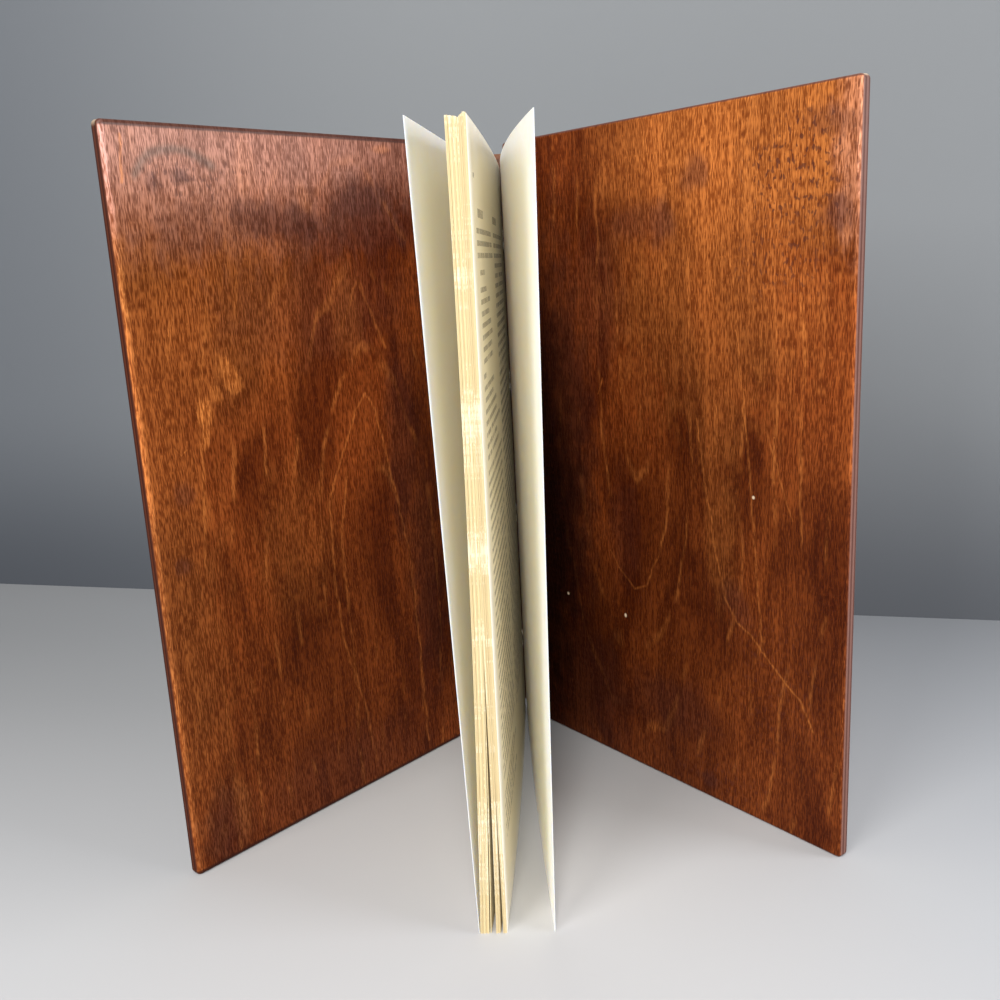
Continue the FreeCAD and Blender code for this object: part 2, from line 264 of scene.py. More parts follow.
class GroupMaker:
    """Starts a shader node group with named sockets."""

    def __init__(self, name: str, inputs: dict[str, object], outputs: dict[str, str]) -> None:
        """Make the group's sockets.

        Args:
            name: The group's name.
            inputs: Each input's name and its value when nothing is linked, or a socket type.
            outputs: Each output's name and socket type.
        """
        self.tree = bpy.data.node_groups.new(name, "ShaderNodeTree")
        for label, value in inputs.items():
            kind = value if isinstance(value, str) else VALUE
            socket = self.tree.interface.new_socket(name=label, in_out="INPUT",
                                                    socket_type=kind)
            if not isinstance(value, str):
                socket.default_value = value
        for label, kind in outputs.items():
            self.tree.interface.new_socket(name=label, in_out="OUTPUT", socket_type=kind)
        self.pen = Pen(self.tree)
        self.given = self.tree.nodes.new("NodeGroupInput").outputs
        self.result = self.tree.nodes.new("NodeGroupOutput").inputs

    def put(self, **values: bpy.types.NodeSocket) -> bpy.types.NodeTree:
        """Join the results to the group's outputs.

        Args:
            values: The sockets by output name, with _ for each space.

        Returns:
            The finished group.
        """
        for name, value in values.items():
            self.pen.feed(self.result[name.replace("_", " ")], value)
        return self.tree


class Effects:
    """The shader node groups that the book's finishes share."""

    def __init__(self) -> None:
        """Build every group once."""
        self.wood_fibre = self._wood_fibre()
        self.growth_rings = self._growth_rings()
        self.soft_spot = self._soft_spot()
        self.fine_line = self._fine_line()
        self.edge_wear = self._edge_wear()
        self.paper_fibre = self._paper_fibre()
        self.print_block = self._print_block()

    def _wood_fibre(self) -> bpy.types.NodeTree:
        """Short upright fibres and pores, with painted glints of light on some fibres.

        Returns:
            A group with Along, Up and Through in millimetres, and Fibre (with painted glints),
            Pores and Figure out.
        """
        made = GroupMaker(
            "wood_fibre",
            {"Along": 0.0, "Up": 0.0, "Through": 0.0, "Fibre Width": 0.34, "Fibre Length": 3.2},
            {"Fibre": VALUE, "Pores": VALUE, "Figure": VALUE})
        pen, given = made.pen, made.given
        sway = pen.noise(pen.point(given["Along"], given["Up"]), 0.012, 1.0)
        swayed = pen.plus(given["Along"], pen.swing(sway, 3.0))
        wide = pen.math("DIVIDE", swayed, given["Fibre Width"])
        tall = pen.math("DIVIDE", given["Up"], given["Fibre Length"])

        def fibres(across: float, along: float, *noise: float) -> bpy.types.NodeSocket:
            """A noise in units of one fibre, with its own scale across and along."""
            place = pen.point(pen.times(wide, across), pen.times(tall, along), given["Through"])
            return pen.noise(place, 1.0, *noise)

        strands = fibres(1.0, 1.0, 0.0)
        streaks = fibres(0.36, 0.24, 1.0, 0.6)
        bands = fibres(0.1, 0.03, 1.0)
        # painted glints: sparse short bright dashes that stand in for highlights, added to Fibre
        painted_glints = fibres(0.9, 1.9, 0.0)
        both = pen.plus(pen.times(strands, 0.44),
                        pen.plus(pen.times(streaks, 0.38), pen.times(bands, 0.18)))
        fibre = pen.plus(pen.span(both, 0.41, 0.63), pen.span(painted_glints, 0.62, 0.78, 0.0, 0.55))
        figure = pen.noise(pen.point(pen.math("DIVIDE", swayed, 26.0),
                                     pen.math("DIVIDE", given["Up"], 70.0), given["Through"]),
                           1.0, 3.0, 0.5, 0.6)
        return made.put(Fibre=fibre, Pores=pen.span(strands, 0.36, 0.26),
                        Figure=pen.span(figure, 0.34, 0.68))

    def _growth_rings(self) -> bpy.types.NodeTree:
        """Thin pale cathedral lines of plain-cut veneer.

        Returns:
            A group with the figure's centre, spacing and stretch in, and Lines out.
        """
        made = GroupMaker(
            "growth_rings",
            {"Along": 0.0, "Up": 0.0, "Centre Along": 80.0, "Centre Up": 120.0,
             "Stretch": 0.35, "Points Up": 1.0, "Spacing": 13.0, "Waver": 9.0},
            {"Lines": VALUE})
        pen, given = made.pen, made.given
        place = pen.point(given["Along"], pen.times(given["Up"], 0.4))
        waver = pen.swing(pen.noise(place, 0.03, 3.0, 0.5), pen.times(given["Waver"], 2.0))
        across = pen.minus(given["Along"], given["Centre Along"])
        above = pen.times(pen.minus(given["Up"], given["Centre Up"]), given["Points Up"])
        above = pen.times(pen.math("MAXIMUM", above, 0.0), given["Stretch"])
        ring = pen.plus(pen.vector("LENGTH", pen.point(across, above)), waver)
        tooth = pen.math("PINGPONG", pen.math("DIVIDE", ring, given["Spacing"]), 0.5)
        broken = pen.span(pen.noise(pen.point(given["Along"], given["Up"]), 0.035, 2.0), 0.46, 0.6)
        return made.put(Lines=pen.times(pen.span(tooth, 0.40, 0.49), broken))

    def _soft_spot(self) -> bpy.types.NodeTree:
        """A cloudy oval patch.

        Returns:
            A group with the place (along, up, 1), the oval's two rows (see Patch.rows), the
            cloud's drift around 0, its share and the strength in, and Mask out.
        """
        made = GroupMaker(
            "soft_spot",
            {"Place": VECTOR, "Wide Row": VECTOR, "Tall Row": VECTOR, "Drift": 0.0,
             "Ragged": 1.4, "Strength": 1.0},
            {"Mask": VALUE})
        pen, given = made.pen, made.given
        wide = pen.vector("DOT_PRODUCT", given["Place"], given["Wide Row"])
        tall = pen.vector("DOT_PRODUCT", given["Place"], given["Tall Row"])
        reach = pen.vector("LENGTH", pen.point(wide, tall))
        edge = pen.math("MULTIPLY_ADD", given["Drift"], given["Ragged"], reach)
        return made.put(Mask=pen.span(edge, 1.15, 0.35, 0.0, given["Strength"]))

    def _fine_line(self) -> bpy.types.NodeTree:
        """One straight run of a thin line with soft sides.

        Returns:
            A group with the place, the run's two ends, half width and strength in, and Mask out.
        """
        made = GroupMaker(
            "fine_line",
            {"Place": VECTOR, "From": VECTOR, "To": VECTOR, "Half Width": 0.6, "Strength": 1.0},
            {"Mask": VALUE})
        pen, given = made.pen, made.given
        run = pen.vector("SUBTRACT", given["To"], given["From"])
        here = pen.vector("SUBTRACT", given["Place"], given["From"])
        share = pen.math("DIVIDE", pen.vector("DOT_PRODUCT", here, run),
                         pen.vector("DOT_PRODUCT", run, run), clamp=True)
        off = pen.vector("DISTANCE", here, pen.vector("SCALE", run, scale=share))
        return made.put(Mask=pen.span(off, given["Half Width"], 0.0, 0.0, given["Strength"]))

    def _edge_wear(self) -> bpy.types.NodeTree:
        """Where a board's arrises are rubbed and catch a painted highlight, where its cut edge
        begins, and where shade is painted along its ends.

        Returns:
            A group with the board's place and size in, and Rub, Arris, Cut, Plies and the painted
            end shade out.
        """
        made = GroupMaker(
            "edge_wear",
            {"Along": 0.0, "Up": 0.0, "Through": 0.0, "Width": 184.5, "Height": 280.0,
             "Thickness": 5.0, "Rub Width": 2.6, "Pool Width": 1.0},
            {"Rub": VALUE, "Arris": VALUE, "Cut": VALUE, "Plies": VALUE, "Pooled": VALUE})
        pen, given = made.pen, made.given
        from_fore_edge = pen.minus(given["Width"], given["Along"])
        near_side = pen.math("MINIMUM", given["Along"], from_fore_edge)
        near_end = pen.math("MINIMUM", given["Up"], pen.minus(given["Height"], given["Up"]))
        inward = pen.math("MINIMUM", near_side, near_end)
        scuff = pen.noise(pen.point(given["Along"], pen.times(given["Up"], 0.35),
                                    given["Through"]), 0.4, 3.0, 0.65)
        # Rub: a pale band along the fore-edge, partly wear and partly a painted highlight on its
        # rounded arris
        rub = pen.span(pen.plus(from_fore_edge, pen.swing(scuff, 1.6)), given["Rub Width"],
                       pen.times(given["Rub Width"], 0.5))
        # painted shade: a dark line along the eased head and tail arrises
        painted_end_shade = pen.span(pen.plus(near_end, pen.swing(scuff, 0.5)),
                          pen.times(given["Pool Width"], 1.4), pen.times(given["Pool Width"], 0.9))
        between = pen.times(pen.span(given["Through"], 0.5, 1.1),
                            pen.span(given["Through"], 4.9, 4.5))
        outer = pen.span(given["Through"], pen.minus(given["Thickness"], 0.75),
                         pen.minus(given["Thickness"], 0.35))
        arris = pen.times(outer, pen.times(pen.span(inward, 1.5, 0.9),
                                           pen.span(scuff, 0.38, 0.55)))
        ply = pen.math("PINGPONG", pen.plus(given["Through"], pen.swing(scuff, 0.35)), 1.0)
        return made.put(Rub=rub, Arris=arris, Cut=pen.times(pen.span(inward, 0.7, 0.2), between),
                        Plies=pen.span(ply, 0.35, 0.65), Pooled=painted_end_shade)

    def _paper_fibre(self) -> bpy.types.NodeTree:
        """The mottle and tooth of laid-down paper fibres.

        Returns:
            A group with Across and Up in millimetres, and Mottle and Tooth out.
        """
        made = GroupMaker("paper_fibre", {"Across": 0.0, "Up": 0.0, "Seed": 0.0},
                          {"Mottle": VALUE, "Tooth": VALUE})
        pen, given = made.pen, made.given
        place = pen.point(given["Across"], given["Up"], given["Seed"])
        mottle = pen.plus(pen.times(pen.noise(place, 0.035, 3.0, 0.55), 0.7),
                          pen.times(pen.noise(place, 0.6, 2.0, 0.6), 0.3))
        tooth = pen.plus(pen.times(pen.noise(place, 1.6, 3.0, 0.7), 0.6),
                         pen.times(pen.noise(place, 5.0, 1.0), 0.4))
        return made.put(Mottle=pen.span(mottle, 0.3, 0.7), Tooth=tooth)

    def _print_block(self) -> bpy.types.NodeTree:
        """Lines of print as short dark bars, one bar to a word.

        Returns:
            A group with the block's edges, pitch and raggedness in, and Ink out.
        """
        made = GroupMaker(
            "print_block",
            {"Across": 0.0, "Up": 0.0, "Left": 20.0, "Right": 80.0, "Top": 200.0, "Bottom": 100.0,
             "Pitch": 3.76, "Bar": 0.5, "Ragged": 0.2, "Word": 5.0, "Seed": 0.0},
            {"Ink": VALUE})
        pen, given = made.pen, made.given
        below = pen.math("DIVIDE", pen.minus(given["Top"], given["Up"]), given["Pitch"])
        row = pen.math("FLOOR", below)
        within = pen.math("FRACT", below)
        bar = pen.times(pen.math("GREATER_THAN", within, 0.12),
                        pen.math("LESS_THAN", within, pen.plus(given["Bar"], 0.12)))
        seeded = pen.plus(pen.times(row, 7.31), given["Seed"])
        row_end = pen.node("TexWhiteNoise", noise_dimensions="1D")
        pen.feed(row_end.inputs["W"], seeded)
        width = pen.minus(given["Right"], given["Left"])
        short = pen.times(pen.times(row_end.outputs["Value"], given["Ragged"]), width)
        inside = pen.times(pen.math("GREATER_THAN", given["Across"], given["Left"]),
                           pen.math("LESS_THAN", given["Across"],
                                    pen.minus(given["Right"], short)))
        tall = pen.times(pen.math("LESS_THAN", given["Up"], given["Top"]),
                         pen.math("GREATER_THAN", given["Up"], given["Bottom"]))
        words = pen.noise(pen.point(pen.math("DIVIDE", given["Across"], given["Word"]), seeded),
                          1.9, 0.0)
        strokes = pen.noise(pen.point(given["Across"], pen.times(given["Up"], 0.7), seeded),
                            2.6, 0.0)
        dark = pen.times(pen.span(words, 0.33, 0.39), pen.span(strokes, 0.34, 0.52, 0.45, 1.0))
        return made.put(Ink=pen.times(pen.times(inside, tall), pen.times(bar, dark)))


class Finish:
    """A material under construction: its pen and its Principled shader."""

    def __init__(self, name: str) -> None:
        """Start a material with nodes and no links but the shader's own."""
        self.material = bpy.data.materials.new(name)
        self.material.use_nodes = True
        tree = self.material.node_tree
        tree.nodes.clear()
        self.pen = Pen(tree)
        self.shader = self.pen.node("BsdfPrincipled")
        out = self.pen.node("OutputMaterial")
        tree.links.new(self.shader.outputs[0], out.inputs["Surface"])

    def constants(self, **values: object) -> None:
        """Set the shader's own sockets, named with _ for each space."""
        for name, value in values.items():
            self.shader.inputs[name.replace("_", " ")].default_value = value

    def relief(self, height: bpy.types.NodeSocket, strength: float, depth: float) -> None:
        """Raise the surface by a height.

        Args:
            height: The height's socket, 0 to 1.
            strength: How strongly it shows.
            depth: The relief's real depth, in metres.
        """
        bump = self.pen.node("Bump")
        bump.inputs["Strength"].default_value = strength
        bump.inputs["Distance"].default_value = depth
        self.pen.feed(bump.inputs["Height"], height)
        self.pen.feed(self.shader.inputs["Normal"], bump.outputs[0])


@dataclass(frozen=True)
class Patch:
    """One oval patch of stain on a board, in millimetres from its spine edge and tail."""

    along: float
    up: float
    half_width: float
    half_height: float
    strength: float
    turn: float = 0.0
    ragged: float = 0.35

    def rows(self) -> tuple[tuple[float, ...], tuple[float, ...]]:
        """What a place (along, up, 1) is multiplied by, for its place in half sizes.

        Returns:
            The row for the oval's width and the row for its height.
        """
        cosine, sine = math.cos(math.radians(self.turn)), math.sin(math.radians(self.turn))
        wide = (cosine, sine, -(self.along * cosine + self.up * sine))
        tall = (-sine, cosine, self.along * sine - self.up * cosine)
        return (tuple(v / self.half_width for v in wide),
                tuple(v / self.half_height for v in tall))


@dataclass(frozen=True)
class Vein:
    """A thin line of figure through points along and up a board, in millimetres."""

    points: tuple[tuple[float, float], ...]
    half_width: float
    strength: float


@dataclass(frozen=True)
class StainedBirch:
    """Birch plywood stained red-brown and varnished, as one board shows it, with painted sheen,
    light and shade in its colour.
    """

    side: Side
    hinge: tuple[float, float]
    half_opening: float
    dark_patches: tuple[Patch, ...]
    pale_stain_and_painted_light_patches: tuple[Patch, ...]
    painted_sheen_patches: tuple[Patch, ...]
    painted_shade_patches: tuple[Patch, ...]
    speckled: tuple[Patch, ...]
    veins: tuple[Vein, ...]
    damp_marks: tuple[Vein, ...]
    flecks: tuple[Patch, ...]
    chips: tuple[Patch, ...]
    ring_centre: tuple[float, float]
    rings_point_up: bool
    deep: Colour = stained(88, 34, 8)
    middle: Colour = stained(126, 58, 20)
    light: Colour = stained(196, 112, 50)
    painted_sheen: Colour = stained(182, 122, 98)
    blotch: Colour = stained(74, 38, 32)
    damp: Colour = stained(96, 78, 64)
    painted_shade: Colour = stained(18, 2, 0)
    bare: Colour = stained(236, 214, 184)
    cut: Colour = stained(58, 26, 18)
    ply: Colour = stained(84, 42, 26)
    worn_arris: Colour = stained(206, 160, 120)
    fibre_shade: Colour = (0.58, 0.50, 0.44, 1.0)
    fibre_pale_and_glint: Colour = (1.50, 1.75, 2.05, 1.0)
    rub_wear_and_highlight: Colour = (1.65, 1.90, 2.30, 1.0)
    rub_width: float = 2.6
    end_shade_width: float = 1.0

    def board_place(self, pen: Pen) -> tuple[bpy.types.NodeSocket, ...]:
        """Turn the part's frame into the board's own.

        Args:
            pen: The material's pen.

        Returns:
            Along the board, up it and through it, in millimetres.
        """
        here = pen.node("TexCoord").outputs["Object"]
        turn = math.radians(90.0 - self.half_opening)
        foot = Matrix.Rotation(turn, 3, "Z") @ Vector((self.hinge[0], self.hinge[1], 0.0))
        mapping = pen.node("Mapping", vector_type="POINT")
        pen.feed(mapping.inputs["Vector"], here)
        mapping.inputs["Scale"].default_value = (self.side.value / MM, 1.0 / MM, 1.0 / MM)
        mapping.inputs["Rotation"].default_value = (0.0, 0.0, turn)
        mapping.inputs["Location"].default_value = (-foot.x, -foot.y, 0.0)
        parts = pen.node("SeparateXYZ")
        pen.feed(parts.inputs[0], mapping.outputs[0])
        return parts.outputs[0], parts.outputs[2], parts.outputs[1]

    def patch_mask(self, pen: Pen, effects: Effects, patches: Sequence[Patch],
                   place: bpy.types.NodeSocket, drift: bpy.types.NodeSocket) -> Input:
        """Add up some patches.

        Args:
            pen: The material's pen.
            effects: The shared node groups.
            patches: The patches.
            place: Along the board, up it and 1.
            drift: The noise around 0 that makes their outlines ragged.

        Returns:
            Their joint mask.
        """
        total: Input = 0.0
        for patch in patches:
            wide, tall = patch.rows()
            spot = pen.group(effects.soft_spot, Place=place, Wide_Row=wide, Tall_Row=tall,
                             Drift=drift, Ragged=4.0 * patch.ragged, Strength=patch.strength)
            total = pen.math("MAXIMUM", total, spot.outputs["Mask"])
        return total

    def vein_mask(self, pen: Pen, effects: Effects, veins: Sequence[Vein],
                  place: bpy.types.NodeSocket) -> Input:
        """Add up some thin lines.

        Args:
            pen: The material's pen.
            effects: The shared node groups.
            veins: The lines.
            place: Along and up the board, wavering a little.

        Returns:
            Their joint mask.
        """
        total: Input = 0.0
        for vein in veins:
            for start, end in zip(vein.points, vein.points[1:]):
                run = pen.group(effects.fine_line, Place=place, From=(*start, 0.0),
                                To=(*end, 0.0), Half_Width=vein.half_width,
                                Strength=vein.strength)
                total = pen.math("MAXIMUM", total, run.outputs["Mask"])
        return total

    def material(self, effects: Effects) -> bpy.types.Material:
        """Build the board's material.

        Args:
            effects: The shared node groups.

        Returns:
            The material.
        """
        finish = Finish("stained_birch_" + self.side.word)
        pen = finish.pen
        along, up, through = self.board_place(pen)
        place = pen.point(along, up, 1.0)
        drift = pen.minus(pen.noise(pen.point(along, pen.times(up, 0.55)), 0.16, 3.0, 0.6), 0.5)
        waver = pen.noise(pen.point(along, up), 0.12, 2.0)
        swayed = pen.point(pen.plus(along, pen.swing(waver, 3.0)), up)
        grain = pen.group(effects.wood_fibre, Along=along, Up=up, Through=pen.times(through, 0.08))
        rings = pen.group(effects.growth_rings, Along=along, Up=up,
                          Centre_Along=self.ring_centre[0], Centre_Up=self.ring_centre[1],
                          Points_Up=1.0 if self.rings_point_up else -1.0)
        edges = pen.group(effects.edge_wear, Along=along, Up=up, Through=through,
                          Rub_Width=self.rub_width, Pool_Width=self.end_shade_width)

        def spots(patches: Sequence[Patch]) -> Input:
            """The joint mask of some patches."""
            return self.patch_mask(pen, effects, patches, place, drift)

        tone = pen.blend(grain.outputs["Figure"], self.deep, self.middle)
        tone = pen.blend(pen.times(rings.outputs["Lines"], 0.30), tone, self.light)
        # painted sheen: pale mauve patches at the board's top stand in for the varnish reflecting
        # a bright window
        painted_sheen = spots(self.painted_sheen_patches)
        # bright patches: the small ones are pale stain, the broad soft ones on the upper board are
        # painted light
        for mask, stain in ((spots(self.pale_stain_and_painted_light_patches), self.light), (painted_sheen, self.painted_sheen),
                            (self.vein_mask(pen, effects, self.veins, swayed), self.light),
                            (spots(self.dark_patches), self.blotch),
                            (self.vein_mask(pen, effects, self.damp_marks, swayed), self.damp),
                            # painted shade: near-black where the leaves shadow the board, and
                            # darker over its lower part
                            (spots(self.painted_shade_patches), self.painted_shade)):
            tone = pen.blend(mask, tone, stain)
        # fibre tone: real pale fibres, and a painted highlight where the painted glints raise
        # Fibre
        gleam = pen.blend(grain.outputs["Fibre"], self.fibre_shade, self.fibre_pale_and_glint)
        colour = pen.blend(1.0, tone, gleam, "MULTIPLY")

        pitted = pen.noise(pen.point(along, pen.times(up, 0.62)), 0.62, 1.0)
        pits = pen.times(pen.span(pitted, 0.55, 0.66), spots(self.speckled))
        colour = pen.blend(pits, colour, self.blotch)
        colour = pen.blend(pen.times(grain.outputs["Pores"], 0.35), colour, self.deep)
        # the rubbed fore-edge: worn, and with a painted highlight
        rubbed = pen.blend(1.0, colour, self.rub_wear_and_highlight, "MULTIPLY")
        colour = pen.blend(edges.outputs["Rub"], colour, rubbed)
        # painted shade along the ends' arrises, in the cut-edge colour
        colour = pen.blend(pen.times(edges.outputs["Pooled"], 0.85), colour, self.cut)
        plies = pen.blend(edges.outputs["Plies"], self.cut, self.ply)
        colour = pen.blend(edges.outputs["Cut"], colour, plies)
        colour = pen.blend(pen.times(edges.outputs["Arris"], 0.8), colour, self.worn_arris)
        chipped = pen.times(pen.span(through, 1.4, 2.0), spots(self.chips))
        bare = pen.math("MAXIMUM", spots(self.flecks), chipped)
        colour = pen.blend(bare, colour, self.bare)
        pen.feed(finish.shader.inputs["Base Color"], colour)

        rough = pen.span(grain.outputs["Fibre"], 0.0, 1.0, 0.52, 0.36)
        rough = pen.plus(rough, pen.times(edges.outputs["Cut"], 0.18))
        pen.feed(finish.shader.inputs["Roughness"], rough)
        # the coat is thicker where the sheen is painted
        pen.feed(finish.shader.inputs["Coat Weight"], pen.times(painted_sheen, 0.6))
        height = pen.minus(grain.outputs["Fibre"], pen.times(grain.outputs["Pores"], 0.8))
        finish.relief(height, 0.4, 0.1 * MM)
        finish.constants(Coat_Roughness=0.34, Specular_IOR_Level=0.07)
        return finish.material


@dataclass(frozen=True)
class PrintRun:
    """One block of printed lines, in millimetres from the fore-edge and the tail."""

    left: float
    right: float
    top: float
    rows: int
    pitch: float = 3.76
    bar: float = 0.44
    ragged: float = 0.1
    word: float = 5.0


@dataclass(frozen=True)
class BookPaper:
    """Cream book paper with painted lighting at its margins (whiter for light, darker for shade),
    with or without print.
    """

    name: str
    body: Colour
    margin_painted_lighting: Colour
    streak: Colour
    margin_width: float = 9.0
    glow: float = 0.0
    prints: tuple[PrintRun, ...] = ()
    ink: Colour = stained(84, 66, 46)
    leaf_width: float = 183.0
    leaf_height: float = 270.0

    def material(self, effects: Effects) -> bpy.types.Material:
        """Build the paper's material, which follows the leaf's own flat coordinates.

        Args:
            effects: The shared node groups.

        Returns:
            The material.
        """
        finish = Finish(self.name)
        pen = finish.pen
        flat = pen.node("UVMap", uv_map=FLAT_LAYER)
        parts = pen.node("SeparateXYZ")
        pen.feed(parts.inputs[0], flat.outputs[0])
        across = pen.times(parts.outputs[0], self.leaf_width)
        up = pen.times(parts.outputs[1], self.leaf_height)
        tone = pen.node("Attribute", attribute_type="GEOMETRY", attribute_name=TONE_LAYER)
        shade = tone.outputs["Fac"]
        fibre = pen.group(effects.paper_fibre, Across=across, Up=up, Seed=pen.times(shade, 40.0))
        mottle, tooth = fibre.outputs["Mottle"], fibre.outputs["Tooth"]

        near_end = pen.math("MINIMUM", up, pen.minus(self.leaf_height, up))
        inward = pen.math("MINIMUM", across, near_end)
        rim = pen.span(pen.plus(inward, pen.swing(mottle, 7.0)), self.margin_width, 1.0)
        # painted lighting: the margin colour stands for light at a leaf's edges (whiter) and shade
        # between leaves (darker)
        colour = pen.blend(rim, self.body, self.margin_painted_lighting)
        aged = pen.times(shade, pen.span(rim, 0.0, 1.0, 0.16, 0.6))
        colour = pen.blend(aged, colour, self.streak)
        colour = pen.blend(pen.times(mottle, 0.16), colour, self.streak)
        ink: Input = 0.0
        for number, run in enumerate(self.prints):
            block = pen.group(effects.print_block, Across=across, Up=up, Left=run.left,
                              Right=run.right, Top=run.top,
                              Bottom=run.top - run.rows * run.pitch, Pitch=run.pitch,
                              Bar=run.bar, Ragged=run.ragged, Word=run.word,
                              Seed=number * 3.17)
            ink = pen.math("MAXIMUM", ink, block.outputs["Ink"])
        if self.prints:
            colour = pen.blend(pen.times(ink, 0.66), colour, self.ink)
        pen.feed(finish.shader.inputs["Base Color"], colour)
        pen.feed(finish.shader.inputs["Roughness"], pen.span(tooth, 0.3, 0.7, 0.72, 0.9))
        finish.relief(tooth, 0.25, 0.04 * MM)
        finish.constants(Specular_IOR_Level=0.3, Sheen_Weight=0.08, Sheen_Roughness=0.6,
                         Subsurface_Weight=self.glow, Subsurface_Radius=(1.0, 0.75, 0.45),
                         Subsurface_Scale=2.5 * MM)
        return finish.material


@dataclass(frozen=True)
class WaxedThread:
    """Off-white waxed linen thread."""

    light: Colour = stained(238, 232, 214)
    shade: Colour = stained(176, 162, 132)
    fineness: float = 6000.0

    def material(self, effects: Effects) -> bpy.types.Material:
        """Build the thread's material.

        Args:
            effects: The shared node groups.

        Returns:
            The material.
        """
        finish = Finish("waxed_thread")
        pen = finish.pen
        here = pen.node("SeparateXYZ")
        pen.feed(here.inputs[0], pen.node("TexCoord").outputs["Object"])
        fibre = pen.group(effects.paper_fibre, Across=pen.times(here.outputs[0], self.fineness),
                          Up=pen.times(here.outputs[2], self.fineness))
        colour = pen.blend(fibre.outputs["Mottle"], self.light, self.shade)
        pen.feed(finish.shader.inputs["Base Color"], colour)
        rough = pen.span(fibre.outputs["Tooth"], 0.2, 0.8, 0.45, 0.7)
        pen.feed(finish.shader.inputs["Roughness"], rough)
        finish.relief(fibre.outputs["Tooth"], 0.3, 0.03 * MM)
        finish.constants(Sheen_Weight=0.2, Sheen_Roughness=0.5)
        return finish.material


@dataclass(frozen=True)
class SpineHide:
    """Dark brown grained leather."""

    hide: Colour = stained(92, 50, 30)
    crease: Colour = stained(48, 24, 14)
    worn: Colour = stained(140, 88, 56)
    pebbles: float = 900.0
    worn_tail: tuple[float, float] = (7.5 * MM, 4.5 * MM)
    worn_head: tuple[float, float] = (272.5 * MM, 275.5 * MM)

    def material(self, effects: Effects) -> bpy.types.Material:
        """Build the leather's material.

        Args:
            effects: The shared node groups.

        Returns:
            The material.
        """
        finish = Finish("spine_hide")
        pen = finish.pen
        here = pen.node("TexCoord").outputs["Object"]
        cells = pen.node("TexVoronoi", feature="DISTANCE_TO_EDGE")
        pen.feed(cells.inputs["Vector"], here)
        cells.inputs["Scale"].default_value = self.pebbles
        pebble = pen.span(cells.outputs["Distance"], 0.02, 0.22)
        parts = pen.node("SeparateXYZ")
        pen.feed(parts.inputs[0], here)
        fibre = pen.group(effects.paper_fibre, Across=pen.times(parts.outputs[0], 1.0 / MM),
                          Up=pen.times(parts.outputs[2], 1.0 / MM))
        colour = pen.blend(pebble, self.crease, self.hide)
        colour = pen.blend(pen.times(fibre.outputs["Mottle"], 0.3), colour, self.worn)
        low_end = pen.span(parts.outputs[2], *self.worn_tail)
        high_end = pen.span(parts.outputs[2], *self.worn_head)
        ends = pen.times(pen.math("MAXIMUM", low_end, high_end), 0.6)
        colour = pen.blend(ends, colour, self.worn)
        pen.feed(finish.shader.inputs["Base Color"], colour)
        pen.feed(finish.shader.inputs["Roughness"], pen.span(pebble, 0.0, 1.0, 0.72, 0.48))
        height = pen.plus(pebble, pen.times(fibre.outputs["Tooth"], 0.3))
        finish.relief(height, 0.5, 0.15 * MM)
        return finish.material


@dataclass(frozen=True)
class PlainGround:
    """A plain matt surface of the stage, seen from its front only if one-sided, graded and
    darkened to one side as painted light falloff and painted shade.
    """

    name: str
    near: Colour
    far: Colour
    axis: int
    reach: tuple[float, float]
    painted_side_shade: Colour
    side_shade_reach: tuple[float, float]
    one_sided: bool = False

    def material(self) -> bpy.types.Material:
        """Build the ground's material.

        Returns:
            The material.
        """
        finish = Finish(self.name)
        pen = finish.pen
        parts = pen.node("SeparateXYZ")
        pen.feed(parts.inputs[0], pen.node("TexCoord").outputs["Object"])
        # painted light falloff: the colour grades from near to far along one axis
        share = pen.span(parts.outputs[self.axis], self.reach[0], self.reach[1])
        colour = pen.blend(share, self.near, self.far)
        # painted shade: darker towards one side
        side_shade = pen.span(parts.outputs[0], self.side_shade_reach[0], self.side_shade_reach[1])
        colour = pen.blend(side_shade, colour, pen.blend(1.0, colour, self.painted_side_shade, "MULTIPLY"))
        pen.feed(finish.shader.inputs["Base Color"], colour)
        finish.constants(Roughness=0.75, Specular_IOR_Level=0.2)
        if self.one_sided:
            out = next(n for n in pen.tree.nodes if n.type == "OUTPUT_MATERIAL")
            choose = pen.node("MixShader")
            pen.feed(choose.inputs[0], pen.node("NewGeometry").outputs["Backfacing"])
            pen.feed(choose.inputs[1], finish.shader.outputs[0])
            pen.feed(choose.inputs[2], pen.node("BsdfTransparent").outputs[0])
            pen.feed(out.inputs["Surface"], choose.outputs[0])
        return finish.material


